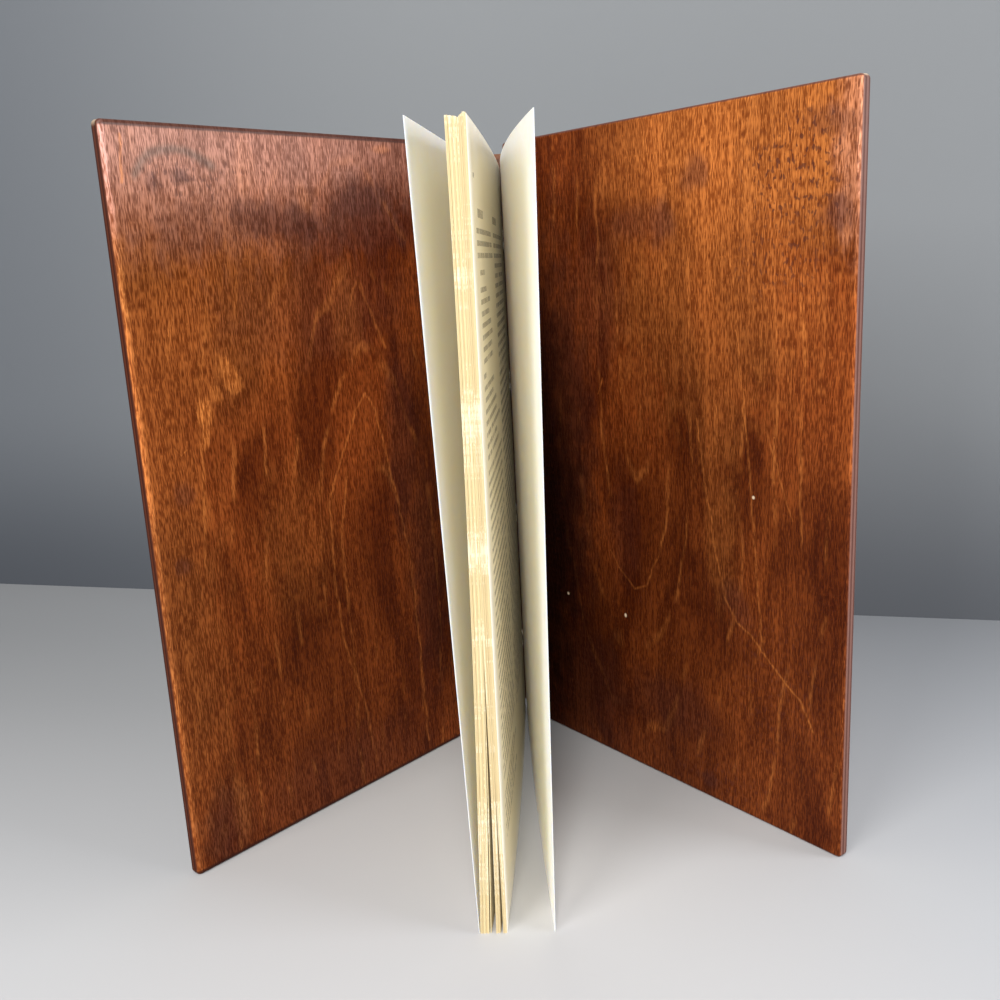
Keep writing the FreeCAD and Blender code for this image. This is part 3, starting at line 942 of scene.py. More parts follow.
class SheetMesh:
    """Gathers leaves as thin closed sheets and turns them into one object."""

    def __init__(self) -> None:
        """Start with no leaves."""
        self.points: list[tuple[float, float, float]] = []
        self.faces: list[tuple[int, int, int, int]] = []
        self.flat: list[tuple[float, float]] = []
        self.tones: list[float] = []

    def add_leaf(self, grid: Sequence[Sequence[tuple[Vector, Vector]]],
                 flat: Sequence[Sequence[tuple[float, float]]], tone: float) -> None:
        """Add one leaf.

        Args:
            grid: Rows from tail to head of pairs of points on the left and right face.
            flat: The flat place of each pair, 0 to 1 from the fore-edge and from the tail.
            tone: The leaf's shade, 0 to 1.
        """
        rows, columns = len(grid), len(grid[0])
        first = len(self.points)
        for face in (0, 1):
            for row, flat_row in zip(grid, flat):
                for pair, spot in zip(row, flat_row):
                    self.points.append(tuple(pair[face] * MM))
                    self.flat.append(spot)
                    self.tones.append(tone)

        def corner(face: int, row: int, column: int) -> int:
            """The number of one point of the leaf."""
            return first + (face * rows + row) * columns + column

        for row in range(rows - 1):
            for column in range(columns - 1):
                a, b = (row, column), (row, column + 1)
                c, d = (row + 1, column + 1), (row + 1, column)
                self.faces.append(tuple(corner(0, *p) for p in (a, d, c, b)))
                self.faces.append(tuple(corner(1, *p) for p in (a, b, c, d)))
        ring = [(0, c) for c in range(columns)] + [(r, columns - 1) for r in range(1, rows)]
        ring += [(rows - 1, c) for c in range(columns - 2, -1, -1)]
        ring += [(r, 0) for r in range(rows - 2, 0, -1)]
        for start, end in zip(ring, ring[1:] + ring[:1]):
            self.faces.append((corner(0, *start), corner(0, *end), corner(1, *end),
                               corner(1, *start)))

    def finish(self, name: str, material: bpy.types.Material) -> bpy.types.Object:
        """Make the object.

        Args:
            name: The piece's name.
            material: Its finish.

        Returns:
            The object, in the part's frame.
        """
        made = new_object(name, self.points, self.faces, material)
        layer = made.data.uv_layers.new(name=FLAT_LAYER)
        for loop in made.data.loops:
            layer.data[loop.index].uv = self.flat[loop.vertex_index]
        tone = made.data.attributes.new(TONE_LAYER, "FLOAT", "POINT")
        tone.data.foreach_set("value", self.tones)
        return made


def new_object(name: str, points: Sequence[Sequence[float]], faces: Sequence[Sequence[int]],
               material: bpy.types.Material, smooth: float = 40.0) -> bpy.types.Object:
    """Make one mesh object.

    Args:
        name: The object's name.
        points: Its points in metres.
        faces: Its faces as point numbers.
        material: Its finish.
        smooth: Faces that meet under this angle are shaded smooth, in degrees.

    Returns:
        The object, linked to the scene.
    """
    mesh = bpy.data.meshes.new(name)
    mesh.from_pydata([tuple(p) for p in points], [], [tuple(f) for f in faces])
    mesh.materials.append(material)
    mesh.polygons.foreach_set("use_smooth", [True] * len(mesh.polygons))
    mesh.set_sharp_from_angle(angle=math.radians(smooth))
    mesh.update()
    made = bpy.data.objects.new(name, mesh)
    bpy.context.scene.collection.objects.link(made)
    return made


def arc_shift(shift: float, length: float, travelled: float) -> float:
    """How far an arc that starts straight has moved sideways.

    Args:
        shift: Its sideways move at the far end.
        length: Its length along the leaf.
        travelled: How far along the leaf the point lies.

    Returns:
        The sideways move at that point, in the unit of the sizes.
    """
    if abs(shift) < 1e-6:
        return 0.0
    radius = (length * length + shift * shift) / (2.0 * shift)
    return radius - math.copysign(math.sqrt(radius * radius - travelled * travelled), radius)


@dataclass
class CoverBoard:
    """One wooden cover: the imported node, dressed."""

    side: Side
    finish: StainedBirch

    def build(self, effects: Effects) -> list[bpy.types.Object]:
        """Dress the node.

        Args:
            effects: The shared node groups.

        Returns:
            The dressed node.
        """
        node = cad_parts[self.side.word + "_cover"]
        node.data.materials.clear()
        node.data.materials.append(self.finish.material(effects))
        return [node]


@dataclass(frozen=True)
class Pack:
    """A run of leaves between two gaps, in millimetres of paper from the left."""

    name: str
    start: float
    end: float
    leaves: int


@dataclass
class PageBlock:
    """The sewn leaves, bent to the left and parted at the tail of the fore-edge."""

    height: float = 270.0
    width: float = 183.0
    back: float = 6.0
    paper: float = 6.4
    left_fore: tuple[float, float, float] = (-11.4, -8.245, -7.0)
    left_levels: tuple[float, float, float] = (0.0, 107.0, 270.0)
    right_fore: tuple[float, float] = (-2.0, -0.6)
    packs: tuple[Pack, ...] = (
        Pack("left_leaves", 0.0, 3.1, 15), Pack("loose_leaf", 3.1, 3.4, 1),
        Pack("middle_leaves", 3.4, 5.0, 8), Pack("right_leaves", 5.0, 6.4, 7))
    gaps: tuple[tuple[float, float], ...] = ((0.4, 92.0), (1.7, 107.0), (0.9, 58.0))
    head_drops: tuple[tuple[float, float], ...] = (
        (0.0, 0.5), (3.0, 1.0), (3.7, 1.5), (5.2, 0.0), (5.9, 0.0), (6.4, 0.5))
    rows: int = 30
    columns: int = 16
    air: float = 0.03
    seed: int = 11

    def left_edge(self, up: float) -> float:
        """The X of the block's left fore-edge at a height, on a curve through three places."""
        total = 0.0
        for index, value in enumerate(self.left_fore):
            share = 1.0
            for other, level in enumerate(self.left_levels):
                if other != index:
                    share *= (up - level) / (self.left_levels[index] - level)
            total += share * value
        return total

    def right_edge(self, up: float) -> float:
        """The X of the block's right fore-edge at a height."""
        share = up / self.height
        return self.right_fore[0] + (self.right_fore[1] - self.right_fore[0]) * share

    def fore_edge(self, paper: float, gap_count: int, up: float) -> float:
        """Where a layer of paper meets the fore-edge.

        Args:
            paper: Paper to the left of the layer, in millimetres.
            gap_count: How many gaps lie to its left.
            up: Height above the tail.

        Returns:
            The layer's X at the fore-edge.
        """
        open_now = [width * max(0.0, 1.0 - up / top) for width, top in self.gaps]
        room = self.right_edge(up) - self.left_edge(up) - sum(open_now)
        return self.left_edge(up) + paper * room / self.paper + sum(open_now[:gap_count])

    def head_drop(self, paper: float) -> float:
        """How far a leaf's head stays below the block's, by its place in the block."""
        for (low, first), (high, second) in zip(self.head_drops, self.head_drops[1:]):
            if paper <= high:
                return first + (second - first) * (paper - low) / (high - low)
        return self.head_drops[-1][1]

    def add_leaf(self, sheet: SheetMesh, paper: tuple[float, float], gap_count: int,
                 chance: random.Random) -> None:
        """Add one leaf to a pack.

        Args:
            sheet: The pack's mesh.
            paper: Paper left of the leaf's left and right faces.
            gap_count: How many gaps lie left of it.
            chance: The seeded source of its small differences.
        """
        shortfall = chance.choice((0.0, 0.0, 0.08, 0.15, 0.3, 0.45)) + chance.random() * 0.06
        drop = self.head_drop(paper[0]) + chance.random() * 0.25
        tone = chance.choice((0.05, 0.15, 0.2, 0.35, 0.6, 0.9))
        grid, flat = [], []
        for row in range(self.rows + 1):
            share = row / self.rows
            up = share * (self.height - drop)
            fore = [self.fore_edge(layer, gap_count, up) for layer in paper]
            line, spots = [], []
            for column in range(self.columns + 1):
                across = 1.0 - (1.0 - column / self.columns) ** 1.4
                travelled = self.width - shortfall - across * (self.width - shortfall)
                pair = []
                for layer, edge in zip(paper, fore):
                    at_back = layer - self.paper / 2.0
                    shift = arc_shift(at_back - edge, self.width, travelled)
                    pair.append(Vector((at_back - shift, self.back - travelled, up)))
                line.append((pair[0], pair[1]))
                spots.append((1.0 - travelled / self.width, up / self.height))
            grid.append(line)
            flat.append(spots)
        sheet.add_leaf(grid, flat, tone)

    def build(self, blank: bpy.types.Material, printed: bpy.types.Material
              ) -> list[bpy.types.Object]:
        """Build every pack and the printed leaf on the right.

        Args:
            blank: The finish of the leaves inside the block.
            printed: The finish of the leaf whose print shows.

        Returns:
            The packs, riding on the pages' body.
        """
        chance = random.Random(self.seed)
        made = []
        for number, pack in enumerate(self.packs):
            sheet = SheetMesh()
            step = (pack.end - pack.start) / pack.leaves
            for leaf in range(pack.leaves):
                low = pack.start + leaf * step
                last = number == len(self.packs) - 1 and leaf == pack.leaves - 1
                if last:
                    made.append(self.build_printed(low, low + step, number, chance, printed))
                    continue
                self.add_leaf(sheet, (low + self.air / 2.0, low + step - self.air / 2.0),
                              number, chance)
            made.append(sheet.finish(pack.name, blank))
        for piece in made:
            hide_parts("page_block")
            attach(piece, "pages")
        return made

    def build_printed(self, low: float, high: float, gap_count: int, chance: random.Random,
                      printed: bpy.types.Material) -> bpy.types.Object:
        """Build the leaf whose printed side faces the right cover.

        Args:
            low: Paper to the left of the leaf.
            high: Paper up to its right face.
            gap_count: How many gaps lie left of it.
            chance: The seeded source of its small differences.
            printed: Its finish.

        Returns:
            The leaf.
        """
        sheet = SheetMesh()
        self.add_leaf(sheet, (low + self.air / 2.0, high), gap_count, chance)
        return sheet.finish("printed_leaf", printed)


@dataclass
class Flyleaf:
    """One free blank leaf that stands beside the block."""

    side: Side
    spread_head: float
    spread_tail: float
    bow_head: float
    bow_tail: float
    rest_plane: tuple[tuple[float, float], tuple[float, float]]
    foot: float = 3.7
    thickness: float = 0.3
    height: float = 270.0
    width: float = 183.0
    back: float = 6.0
    rows: int = 60
    columns: int = 44
    flattened: float = 0.02
    tone: float = 0.05

    def edge_point(self, spread: float, bow: float, share: float) -> tuple[float, float]:
        """A point of the leaf's tail or head edge.

        Args:
            spread: The fore-edge's distance from the foot, across.
            bow: The edge's bow towards the block.
            share: 0 at the foot, 1 at the fore-edge.

        Returns:
            The point's distance from the middle plane and its Y.
        """
        length = math.sqrt(self.width ** 2 - spread ** 2)
        across = self.foot + spread * share - bow * 4.0 * share * (1.0 - share)
        return across, self.back - length * share

    def build(self, material: bpy.types.Material) -> list[bpy.types.Object]:
        """Build the leaf.

        Args:
            material: Its finish.

        Returns:
            The leaf, riding on the pages' body.
        """
        sheet = SheetMesh()
        grid, flat = [], []
        sign = self.side.value
        for row in range(self.rows + 1):
            up = row / self.rows
            line, spots = [], []
            for column in range(self.columns + 1):
                share = 1.0 - (column / self.columns)
                low = self.edge_point(self.spread_tail, self.bow_tail, share)
                high = self.edge_point(self.spread_head, self.bow_head, share)
                across = low[0] + (high[0] - low[0]) * up
                depth = low[1] + (high[1] - low[1]) * up
                faces = [Vector((sign * (across + extra), depth, up * self.height))
                         for extra in (0.0, self.thickness)]
                line.append((faces[0], faces[1]) if sign > 0 else (faces[1], faces[0]))
                spots.append((1.0 - share, up))
            grid.append(line)
            flat.append(spots)
        sheet.add_leaf(grid, flat, self.tone)
        name = self.side.word + "_flyleaf"
        made = sheet.finish(name + "_sheet", material)
        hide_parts(name)
        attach(made, "pages")
        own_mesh(made)
        return [made]


@dataclass
class SewingThread:
    """Two stitches at each sewing station, laid from a two-ply thread."""

    half_block: float = 3.2
    first_station: float = 36.2
    station_pitch: float = 65.5
    stations: int = 4
    stitch_length: float = 3.6
    stitch_pair: float = 5.6
    thread: float = 0.8
    corner: float = 0.5
    ply_pitch: float = 2.2
    steps: int = 150
    sides: int = 8

    def loop_point(self, foot: float, travelled: float) -> tuple[Vector, Vector]:
        """A point on a stitch's closed path.

        Args:
            foot: The height of the stitch's lower hole.
            travelled: The share of the way round, 0 to 1.

        Returns:
            The point and the outward direction there.
        """
        wide, tall = self.half_block, self.stitch_length / 2.0
        corners = [Vector((-wide, 0, -tall)), Vector((wide, 0, -tall)),
                   Vector((wide, 0, tall)), Vector((-wide, 0, tall))]
        lengths = [2 * wide, 2 * tall, 2 * wide, 2 * tall]
        left = travelled * sum(lengths)
        for index, length in enumerate(lengths):
            if left <= length:
                break
            left -= length
        start, end = corners[index], corners[(index + 1) % 4]
        point = start.lerp(end, left / length)
        point.x = max(-wide, min(wide, point.x))
        across, above = abs(point.x) - (wide - self.corner), abs(point.z) - (tall - self.corner)
        if across > 0 and above > 0:
            reach = math.hypot(across, above)
            across, above = (v * self.corner / max(reach, 1e-9) for v in (across, above))
            point.x = math.copysign(wide - self.corner + across, point.x)
            point.z = math.copysign(tall - self.corner + above, point.z)
        outward = Vector((point.x / wide, 0.0, point.z / tall)).normalized()
        return point + Vector((0.0, 0.0, foot + tall)), outward

    def build(self, material: bpy.types.Material) -> list[bpy.types.Object]:
        """Build all the stitches as one piece.

        Args:
            material: The thread's finish.

        Returns:
            The thread, riding on the pages' body.
        """
        points: list[Vector] = []
        faces: list[tuple[int, int, int, int]] = []
        perimeter = 4.0 * self.half_block + 2.0 * self.stitch_length
        turns = round(perimeter / self.ply_pitch)
        for station in range(self.stations):
            for pair in (0, 1):
                foot = self.first_station + station * self.station_pitch + pair * self.stitch_pair
                for ply in (0, 1):
                    self.add_ply(points, faces, foot, ply * math.pi, turns)
        made = new_object("sewing_thread_plies", [p * MM for p in points], faces, material, 80.0)
        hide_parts("sewing_thread")
        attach(made, "pages")
        return [made]

    def add_ply(self, points: list[Vector], faces: list[tuple[int, int, int, int]], foot: float,
                phase: float, turns: int) -> None:
        """Wind one ply of a stitch.

        Args:
            points: The piece's points, added to.
            faces: The piece's faces, added to.
            foot: The height of the stitch's lower hole.
            phase: The ply's start angle.
            turns: How often the ply goes round the thread's middle.
        """
        first = len(points)
        middle_radius, ply_radius = self.thread * 0.24, self.thread * 0.26
        centres = []
        for step in range(self.steps):
            share = step / self.steps
            point, outward = self.loop_point(foot, share)
            angle = phase + share * turns * 2.0 * math.pi
            side = Vector((0.0, 1.0, 0.0))
            centres.append(point + (outward * math.cos(angle) + side * math.sin(angle))
                           * middle_radius)
        for step, centre in enumerate(centres):
            ahead = (centres[(step + 1) % self.steps] - centres[step - 1]).normalized()
            across = ahead.cross(Vector((0.0, 1.0, 0.0))).normalized()
            upward = ahead.cross(across).normalized()
            for side_number in range(self.sides):
                turn = 2.0 * math.pi * side_number / self.sides
                points.append(centre + (across * math.cos(turn) + upward * math.sin(turn))
                              * ply_radius)
        for step in range(self.steps):
            for number in range(self.sides):
                following = (step + 1) % self.steps
                beside = (number + 1) % self.sides
                faces.append((first + step * self.sides + number,
                              first + step * self.sides + beside,
                              first + following * self.sides + beside,
                              first + following * self.sides + number))


@dataclass
class SpineStrip:
    """Half of the spine leather: it lies on the block's back and turns onto one board."""

    side: Side
    half_opening: float = 40.2
    hinge: tuple[float, float] = (4.5, 2.5227)
    board: float = 5.0
    glue: float = 0.25
    leather: float = 0.8
    flange: float = 14.0
    back: float = 6.0
    low: float = 4.5
    high: float = 275.5
    rows: int = 90
    held: float = 4.2
    turned: float = 9.5

    def outline(self) -> list[tuple[Vector, Vector]]:
        """The strip's section from the middle plane to the flange's end.

        Returns:
            Pairs of points on the inner and outer face, in millimetres, at Z 0.
        """
        angle = math.radians(self.half_opening)
        along = Vector((math.sin(angle), -math.cos(angle), 0.0))
        out = Vector((math.cos(angle), math.sin(angle), 0.0))
        corner = Vector((self.hinge[0], self.hinge[1], 0.0)) + out * (self.board + self.glue)
        bend = (self.back - corner.y) / along.y
        inner_corner = corner + along * bend
        pairs = []
        flat_steps, turn_steps, flange_steps = 8, 8, 14
        radius = 0.6
        tangent = radius * math.tan((math.pi / 2.0 - angle) / 2.0)
        flat_end = inner_corner.x - tangent
        for step in range(flat_steps):
            x = flat_end * step / flat_steps
            pairs.append((Vector((x, self.back, 0.0)), Vector((x, self.back + self.leather, 0.0))))
        for step in range(turn_steps + 1):
            share = step / turn_steps
            heading = math.radians(90.0) * (1.0 - share) + angle * share
            normal = Vector((math.cos(heading), math.sin(heading), 0.0))
            start = Vector((flat_end, self.back, 0.0))
            end = inner_corner + along * tangent
            first = start.lerp(inner_corner, share)
            second = inner_corner.lerp(end, share)
            inner = first.lerp(second, share)
            pairs.append((inner, inner + normal * self.leather))
        foot = pairs[-1][0]
        end = inner_corner + along * self.flange
        for step in range(1, flange_steps + 1):
            inner = foot.lerp(end, step / flange_steps)
            thin = self.leather * (1.0 if step < flange_steps else 0.55)
            pairs.append((inner, inner + out * thin))
        return pairs

    def build(self, material: bpy.types.Material) -> list[bpy.types.Object]:
        """Build the half strip and bend it between the pages and its cover.

        Args:
            material: The leather's finish.

        Returns:
            The half strip.
        """
        section = self.outline()
        points: list[Vector] = []
        faces: list[tuple[int, ...]] = []
        count = len(section)
        sign = self.side.value
        for row in range(self.rows + 1):
            share = row / self.rows
            up = self.low + (self.high - self.low) * share
            for inner, outer in section:
                for spot in (inner, outer):
                    points.append(Vector((sign * spot.x, spot.y, up)) * MM)

        def number(row: int, column: int, face: int) -> int:
            """The number of one point of the strip."""
            return (row * count + column) * 2 + face

        for row in range(self.rows):
            for column in range(count - 1):
                inner = [number(row, column, 0), number(row, column + 1, 0),
                         number(row + 1, column + 1, 0), number(row + 1, column, 0)]
                outer = [number(row, column, 1), number(row + 1, column, 1),
                         number(row + 1, column + 1, 1), number(row, column + 1, 1)]
                faces += [inner, outer]
            for column in (0, count - 1):
                rim = [number(row, column, 0), number(row + 1, column, 0),
                       number(row + 1, column, 1), number(row, column, 1)]
                faces.append(rim if column == 0 else rim[::-1])
        for row in (0, self.rows):
            for column in range(count - 1):
                cap = [number(row, column, 0), number(row, column, 1),
                       number(row, column + 1, 1), number(row, column + 1, 0)]
                faces.append(cap if row == 0 else cap[::-1])
        if sign < 0:
            faces = [tuple(reversed(f)) for f in faces]
        made = new_object("spine_leather_" + self.side.word, points, faces, material, 50.0)
        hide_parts("spine_leather")
        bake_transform(made)
        return [made]


@dataclass
class Studio:
    """The plain table and wall, the soft lamps and the camera."""

    camera_place: tuple[float, float, float] = (0.01675, -0.48507, 0.22797)
    yaw: float = 2.49
    pitch: float = 13.31
    roll: float = -3.01
    lens: float = 36.47
    wall_foot: tuple[float, float] = (0.0, 0.1705)
    wall_turn: float = -12.77
    wall_half_width: float = 1.4
    wall_height: float = 1.1
    table_reach: float = 2.5
    lamp_target: tuple[float, float, float] = (0.0, -0.06, 0.13)
    sky: Colour = stained(214, 220, 230)
    sky_strength: float = 0.32
    lamps: tuple[tuple[str, tuple[float, float, float], tuple[float, float], float, Colour],
                 ...] = field(
        default=(
            ("left_panel", (-0.98, -1.36, 0.92), (0.8, 0.8), 19.5, (1.0, 0.98, 0.94, 1.0)),
            ("right_panel", (1.42, -0.42, 0.50), (0.8, 0.8), 16.5, (0.96, 0.97, 1.0, 1.0)),
            ("front_strip", (-0.02, -1.16, 1.10), (0.26, 1.3), 18.5, (1.0, 0.99, 0.96, 1.0)),
        ))

    def add_camera(self) -> None:
        """Place the camera as the photograph was taken."""
        yaw, pitch, roll = (math.radians(v) for v in (self.yaw, self.pitch, self.roll))
        right = Vector((math.cos(yaw), math.sin(yaw), 0.0))
        level = Vector((-math.sin(yaw), math.cos(yaw), 0.0))
        upright = Vector((0.0, 0.0, 1.0))
        ahead = math.cos(pitch) * level - math.sin(pitch) * upright
        over = math.sin(pitch) * level + math.cos(pitch) * upright
        across = math.cos(roll) * right + math.sin(roll) * over
        above = -math.sin(roll) * right + math.cos(roll) * over
        data = bpy.data.cameras.new("book_camera")
        data.lens = self.lens
        data.sensor_width = 36.0
        data.clip_start, data.clip_end = 0.01, 20.0
        made = bpy.data.objects.new("book_camera", data)
        turn = Matrix((across, above, -ahead)).transposed().to_4x4()
        made.matrix_world = Matrix.Translation(Vector(self.camera_place)) @ turn
        bpy.context.scene.collection.objects.link(made)
        bpy.context.scene.camera = made

    def add_ground(self) -> None:
        """Lay the table and stand the wall behind it."""
        reach = self.table_reach
        table = new_object("table", [(-reach, -reach, 0.0), (reach, -reach, 0.0),
                                     (reach, reach, 0.0), (-reach, reach, 0.0)], [(0, 1, 2, 3)],
                           # table: painted falloff, darker towards the wall, and painted shade to
                           # the right
                           PlainGround("table_top", stained(197, 197, 199),
                                       stained(151, 152, 154), 1, (-0.26, 0.18),
                                       (0.90, 0.92, 0.95, 1.0), (0.04, 0.26)).material())
        turn = math.radians(self.wall_turn)
        along = Vector((math.cos(turn), math.sin(turn), 0.0))
        foot = Vector((self.wall_foot[0], self.wall_foot[1], 0.0))
        low_left, low_right = (foot + along * self.wall_half_width * way for way in (-1.0, 1.0))
        rise = Vector((0.0, 0.0, self.wall_height))
        wall = new_object("wall", [low_left, low_right, low_right + rise, low_left + rise],
                          [(0, 1, 2, 3)],
                          # wall: painted shade, darker at its foot and towards the left
                          PlainGround("wall_paint", stained(98, 101, 106),
                                      stained(130, 133, 136), 2, (0.0, 0.15),
                                      (0.60, 0.62, 0.66, 1.0), (0.0, -0.42),
                                      one_sided=True).material())

    def add_lamps(self) -> None:
        """Hang the soft lamps and set the pale surroundings."""
        target = Vector(self.lamp_target)
        for name, place, size, power, colour in self.lamps:
            data = bpy.data.lights.new(name, "AREA")
            data.shape = "RECTANGLE"
            data.size, data.size_y = size
            data.energy = power
            data.color = colour[:3]
            made = bpy.data.objects.new(name, data)
            made.location = place
            made.rotation_euler = (target - Vector(place)).to_track_quat("-Z", "Y").to_euler()
            bpy.context.scene.collection.objects.link(made)
        world = bpy.data.worlds.new("room")
        world.use_nodes = True
        ground = world.node_tree.nodes["Background"]
        ground.inputs[0].default_value = self.sky
        ground.inputs[1].default_value = self.sky_strength
        bpy.context.scene.world = world

    def build(self) -> None:
        """Set the whole stage."""
        self.add_camera()
        self.add_ground()
        self.add_lamps()
        bpy.context.scene.view_settings.view_transform = "Standard"


LEFT_BIRCH = StainedBirch(
    side=Side.LEFT, hinge=(4.5, 2.5227), half_opening=40.2,
    dark_patches=(
        Patch(114.7, 246.0, 34.0, 9.0, 0.62, 8.0), Patch(155.8, 243.0, 22.0, 10.0, 0.34),
        Patch(75.7, 254.0, 24.0, 10.0, 0.66, -6.0), Patch(92.1, 238.0, 9.0, 12.0, 0.5),
        Patch(71.6, 244.0, 50.0, 14.0, 0.35), Patch(102.3, 214.0, 60.0, 26.0, 0.26),
        Patch(170.2, 150.0, 5.0, 6.0, 0.4), Patch(174.4, 124.0, 4.0, 5.0, 0.45),
        Patch(61.3, 150.0, 12.0, 60.0, 0.28), Patch(53.1, 90.0, 12.0, 70.0, 0.3),
        Patch(169.2, 14.0, 14.0, 22.0, 0.34), Patch(112.6, 12.0, 60.0, 22.0, 0.22),
        Patch(156.0, 262.4, 4.6, 3.6, 0.6), Patch(167.3, 259.5, 4.0, 4.6, 0.45),
        Patch(154.8, 250.0, 14.0, 5.0, 0.3)),
    pale_stain_and_painted_light_patches=(
        Patch(145.5, 192.0, 5.0, 11.0, 0.72, -34.0, 0.4),
        Patch(152.0, 184.5, 3.6, 5.0, 0.55, -20.0, 0.4),
        Patch(157.8, 178.5, 4.4, 7.0, 0.85, 6.0, 0.3),
        Patch(158.4, 169.0, 2.2, 6.0, 0.65, 6.0, 0.3), Patch(130.1, 266.0, 7.0, 12.0, 0.32),
        Patch(130.8, 262.2, 4.0, 9.0, 0.5), Patch(103.4, 255.0, 4.0, 8.0, 0.34, -20.0),
        Patch(88.0, 212.0, 10.0, 26.0, 0.2), Patch(162.0, 20.0, 5.0, 18.0, 0.3),
        Patch(61.8, 275.0, 6.0, 2.0, 0.4), Patch(122.9, 120.0, 22.0, 40.0, 0.14),
        # Patch(155.0, 225.0, ...) below: painted light on the upper board; the other bright
        # patches are pale stain
        Patch(155.0, 225.0, 60.0, 60.0, 0.26, 0.0, 0.12), Patch(180.0, 130.0, 26.0, 150.0, 0.2)),
    # painted sheen along the board's top
    painted_sheen_patches=(
        Patch(140.0, 286.0, 120.0, 54.0, 0.62, 0.0, 0.12), Patch(60.0, 288.0, 60.0, 44.0, 0.34)),
    # painted shade beside the leaves and over the lower board
    painted_shade_patches=(
        Patch(20.4, 110.0, 64.0, 150.0, 0.64, 0.0, 0.12),
        Patch(100.0, 50.0, 100.0, 100.0, 0.34, 0.0, 0.12)),
    speckled=(Patch(153.8, 262.0, 26.0, 10.0, 0.45), Patch(114.7, 240.0, 40.0, 10.0, 0.3)),
    veins=(
        Vein(((104.4, 135.0), (94.1, 155.0), (85.9, 170.0), (80.8, 176.0), (75.7, 168.0),
              (72.1, 151.0), (68.0, 132.0), (61.8, 98.0), (60.3, 58.0), (58.8, 7.0)), 0.9, 0.34),
        Vein(((104.4, 135.0), (105.4, 100.0), (103.4, 72.0), (95.7, 41.0), (91.0, 10.0)), 0.9,
             0.30),
        Vein(((91.0, 204.0), (79.8, 223.0), (67.5, 194.0)), 1.1, 0.28),
        Vein(((171.5, 167.9), (169.1, 164.6), (166.8, 166.4)), 0.5, 0.5),
        Vein(((177.1, 275.2), (178.8, 259.9)), 0.9, 0.5)),
    damp_marks=(
        Vein(((173.9, 262.5), (170.4, 266.7), (167.0, 269.4), (162.7, 270.8),
              (157.8, 271.3), (152.9, 270.7), (148.1, 269.0), (143.4, 266.0)), 3.0, 0.6),),
    flecks=(),
    chips=(Patch(183.1, 279.0, 1.6, 1.6, 0.5),),
    ring_centre=(80.0, 96.0), rings_point_up=True, end_shade_width=1.7)

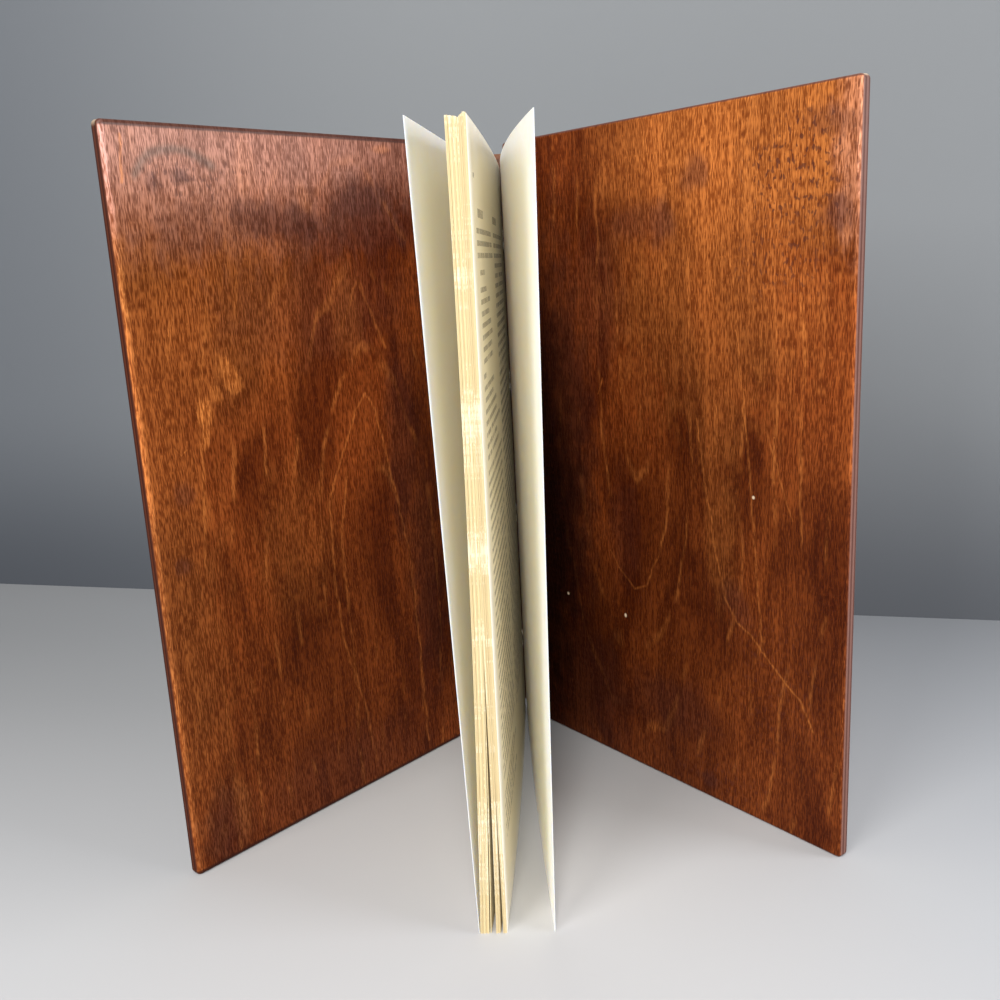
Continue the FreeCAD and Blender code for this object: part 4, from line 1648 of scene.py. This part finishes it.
RIGHT_BIRCH = StainedBirch(
    side=Side.RIGHT, hinge=(4.5, 2.5227), half_opening=40.2,
    dark_patches=(
        Patch(114.9, 256.0, 8.0, 9.0, 0.5, -25.0), Patch(97.5, 239.0, 9.0, 12.0, 0.55, -20.0),
        Patch(84.1, 240.0, 20.0, 9.0, 0.34), Patch(173.5, 267.0, 12.0, 6.0, 0.4, -18.0),
        Patch(176.5, 238.0, 8.0, 7.0, 0.6), Patch(36.1, 150.0, 24.0, 120.0, 0.42),
        Patch(59.1, 210.0, 20.0, 40.0, 0.28), Patch(135.3, 90.0, 8.0, 12.0, 0.34, 30.0),
        Patch(99.6, 36.0, 30.0, 18.0, 0.34), Patch(73.7, 110.0, 12.0, 30.0, 0.22),
        Patch(121.0, 8.0, 7.0, 4.0, 0.4), Patch(47.6, 30.0, 34.0, 34.0, 0.36)),
    pale_stain_and_painted_light_patches=(
        Patch(123.1, 240.0, 22.0, 42.0, 0.42), Patch(69.6, 258.0, 12.0, 12.0, 0.3),
        Patch(147.4, 250.0, 8.0, 7.0, 0.42), Patch(145.4, 272.0, 34.0, 8.0, 0.4),
        Patch(125.1, 180.0, 16.0, 60.0, 0.26), Patch(127.2, 120.0, 10.0, 40.0, 0.22),
        # both patches below: painted light on the upper board; the other bright patches are pale
        # stain
        Patch(140.0, 270.0, 90.0, 60.0, 0.5, 0.0, 0.12), Patch(120.0, 215.0, 66.0, 60.0, 0.30)),
    # painted sheen at the top of the fore-edge
    painted_sheen_patches=(Patch(182.0, 262.0, 9.0, 40.0, 0.3),),
    # painted shadow of the leaves beside the gutter, and painted shade over the lower board
    painted_shade_patches=(
        Patch(8.5, 100.0, 58.0, 165.0, 0.94, 0.0, 0.12),
        Patch(30.0, 50.0, 66.0, 90.0, 0.62, 0.0, 0.12),
        Patch(130.0, 70.0, 110.0, 150.0, 0.42, 0.0, 0.12),
        Patch(0.0, 100.0, 36.0, 170.0, 0.97, 0.0, 0.12)),
    speckled=(
        Patch(161.5, 252.0, 30.0, 26.0, 0.75), Patch(155.4, 226.0, 26.0, 20.0, 0.6),
        Patch(155.4, 60.0, 30.0, 40.0, 0.25), Patch(125.1, 10.0, 40.0, 12.0, 0.3)),
    veins=(
        Vein(((114.9, 163.0), (118.5, 143.0), (125.1, 107.0), (130.2, 91.0), (135.3, 82.5),
              (142.4, 79.0), (154.4, 67.5), (166.0, 58.5), (171.5, 48.0)), 0.8, 0.5),
        Vein(((132.2, 224.0), (134.8, 199.0), (139.3, 161.0), (143.1, 126.0), (147.4, 78.0)), 0.8,
             0.34),
        Vein(((64.4, 99.0), (70.6, 91.0), (78.9, 84.0), (86.2, 87.0), (92.3, 100.0),
              (98.1, 114.4), (100.1, 132.0)), 0.8, 0.36),
        Vein(((148.4, 162.0), (155.4, 144.0), (160.2, 129.0)), 0.7, 0.3),
        Vein(((85.1, 181.0), (84.7, 160.0)), 0.7, 0.2),
        Vein(((62.8, 176.0), (59.4, 169.0)), 0.5, 0.4)),
    damp_marks=(),
    flecks=(Patch(34.9, 71.7, 0.9, 0.9, 0.9, 0.0, 0.1), Patch(73.0, 70.2, 0.9, 1.2, 0.9, 0.0, 0.1),
            Patch(143.0, 135.1, 0.8, 0.8, 0.7, 0.0, 0.1)),
    chips=(Patch(181.6, 280.0, 3.0, 1.6, 1.0, 0.0, 0.15),
           Patch(37.8, 280.0, 1.0, 1.2, 0.9, 0.0, 0.1)),
    ring_centre=(80.0, 150.0), rings_point_up=False, cut=stained(96, 62, 54),
    ply=stained(128, 92, 82), rub_width=1.0, end_shade_width=0.7)

FLYLEAVES = (
    Flyleaf(Side.LEFT, spread_head=14.9, spread_tail=7.9, bow_head=0.4, bow_tail=1.0,
            rest_plane=((-3.8, 6.0), (-11.5, -177.0))),
    Flyleaf(Side.RIGHT, spread_head=15.0, spread_tail=10.8, bow_head=3.2, bow_tail=1.0,
            rest_plane=((4.0, 6.0), (0.5, -177.0))))

PAGE_PRINT = (
    PrintRun(11.5, 15.0, 254.6, 1, 3.6, 0.4, 0.0, 3.0),
    PrintRun(21.0, 41.0, 244.6, 1, 4.4, 0.62, 0.0, 7.0),
    PrintRun(87.0, 113.0, 244.6, 1, 4.4, 0.62, 0.0, 7.0),
    PrintRun(14.5, 80.0, 238.5, 3), PrintRun(87.0, 152.0, 238.5, 52, ragged=0.06),
    PrintRun(20.0, 38.0, 225.6, 1), PrintRun(18.5, 62.0, 220.2, 7, ragged=0.55),
    PrintRun(15.5, 25.0, 193.0, 1), PrintRun(16.0, 80.0, 189.0, 7, ragged=0.5),
    PrintRun(14.5, 80.0, 161.6, 30, ragged=0.08), PrintRun(14.5, 80.0, 45.0, 5, ragged=0.4))


def main() -> None:
    """Build the book piece by piece, then its stage."""
    logging.basicConfig(level=logging.INFO, format="%(name)s: %(message)s")
    effects = Effects()
    # darker margin: painted shade between the leaves at their edges
    leaf_paper = BookPaper("leaf_paper", stained(254, 246, 218), stained(232, 216, 170),
                           stained(196, 158, 104), margin_width=2.5)
    # whiter margin: painted light near the edges
    printed_paper = BookPaper("printed_leaf_paper", stained(255, 249, 228),
                              stained(253, 250, 242), stained(240, 222, 180),
                              margin_width=13.0, prints=PAGE_PRINT)
    # whiter margin: painted light along the edges
    blank_paper = BookPaper("flyleaf_paper", stained(254, 244, 214), stained(252, 246, 232),
                            stained(246, 226, 178), margin_width=18.0, glow=1.0)
    leaf = leaf_paper.material(effects)
    printed = printed_paper.material(effects)
    blank = blank_paper.material(effects)
    hide = SpineHide().material(effects)
    pieces = []
    for finish in (LEFT_BIRCH, RIGHT_BIRCH):
        pieces += CoverBoard(finish.side, finish).build(effects)
    pieces += PageBlock().build(leaf, printed)
    for flyleaf in FLYLEAVES:
        pieces += flyleaf.build(blank)
    pieces += SewingThread().build(WaxedThread().material(effects))
    for side in Side:
        pieces += SpineStrip(side).build(hide)
    for piece in pieces:
        LOG.info("%s: %d faces", piece.name, len(piece.data.polygons))
    Studio().build()


if __name__ == "__main__":
    main()
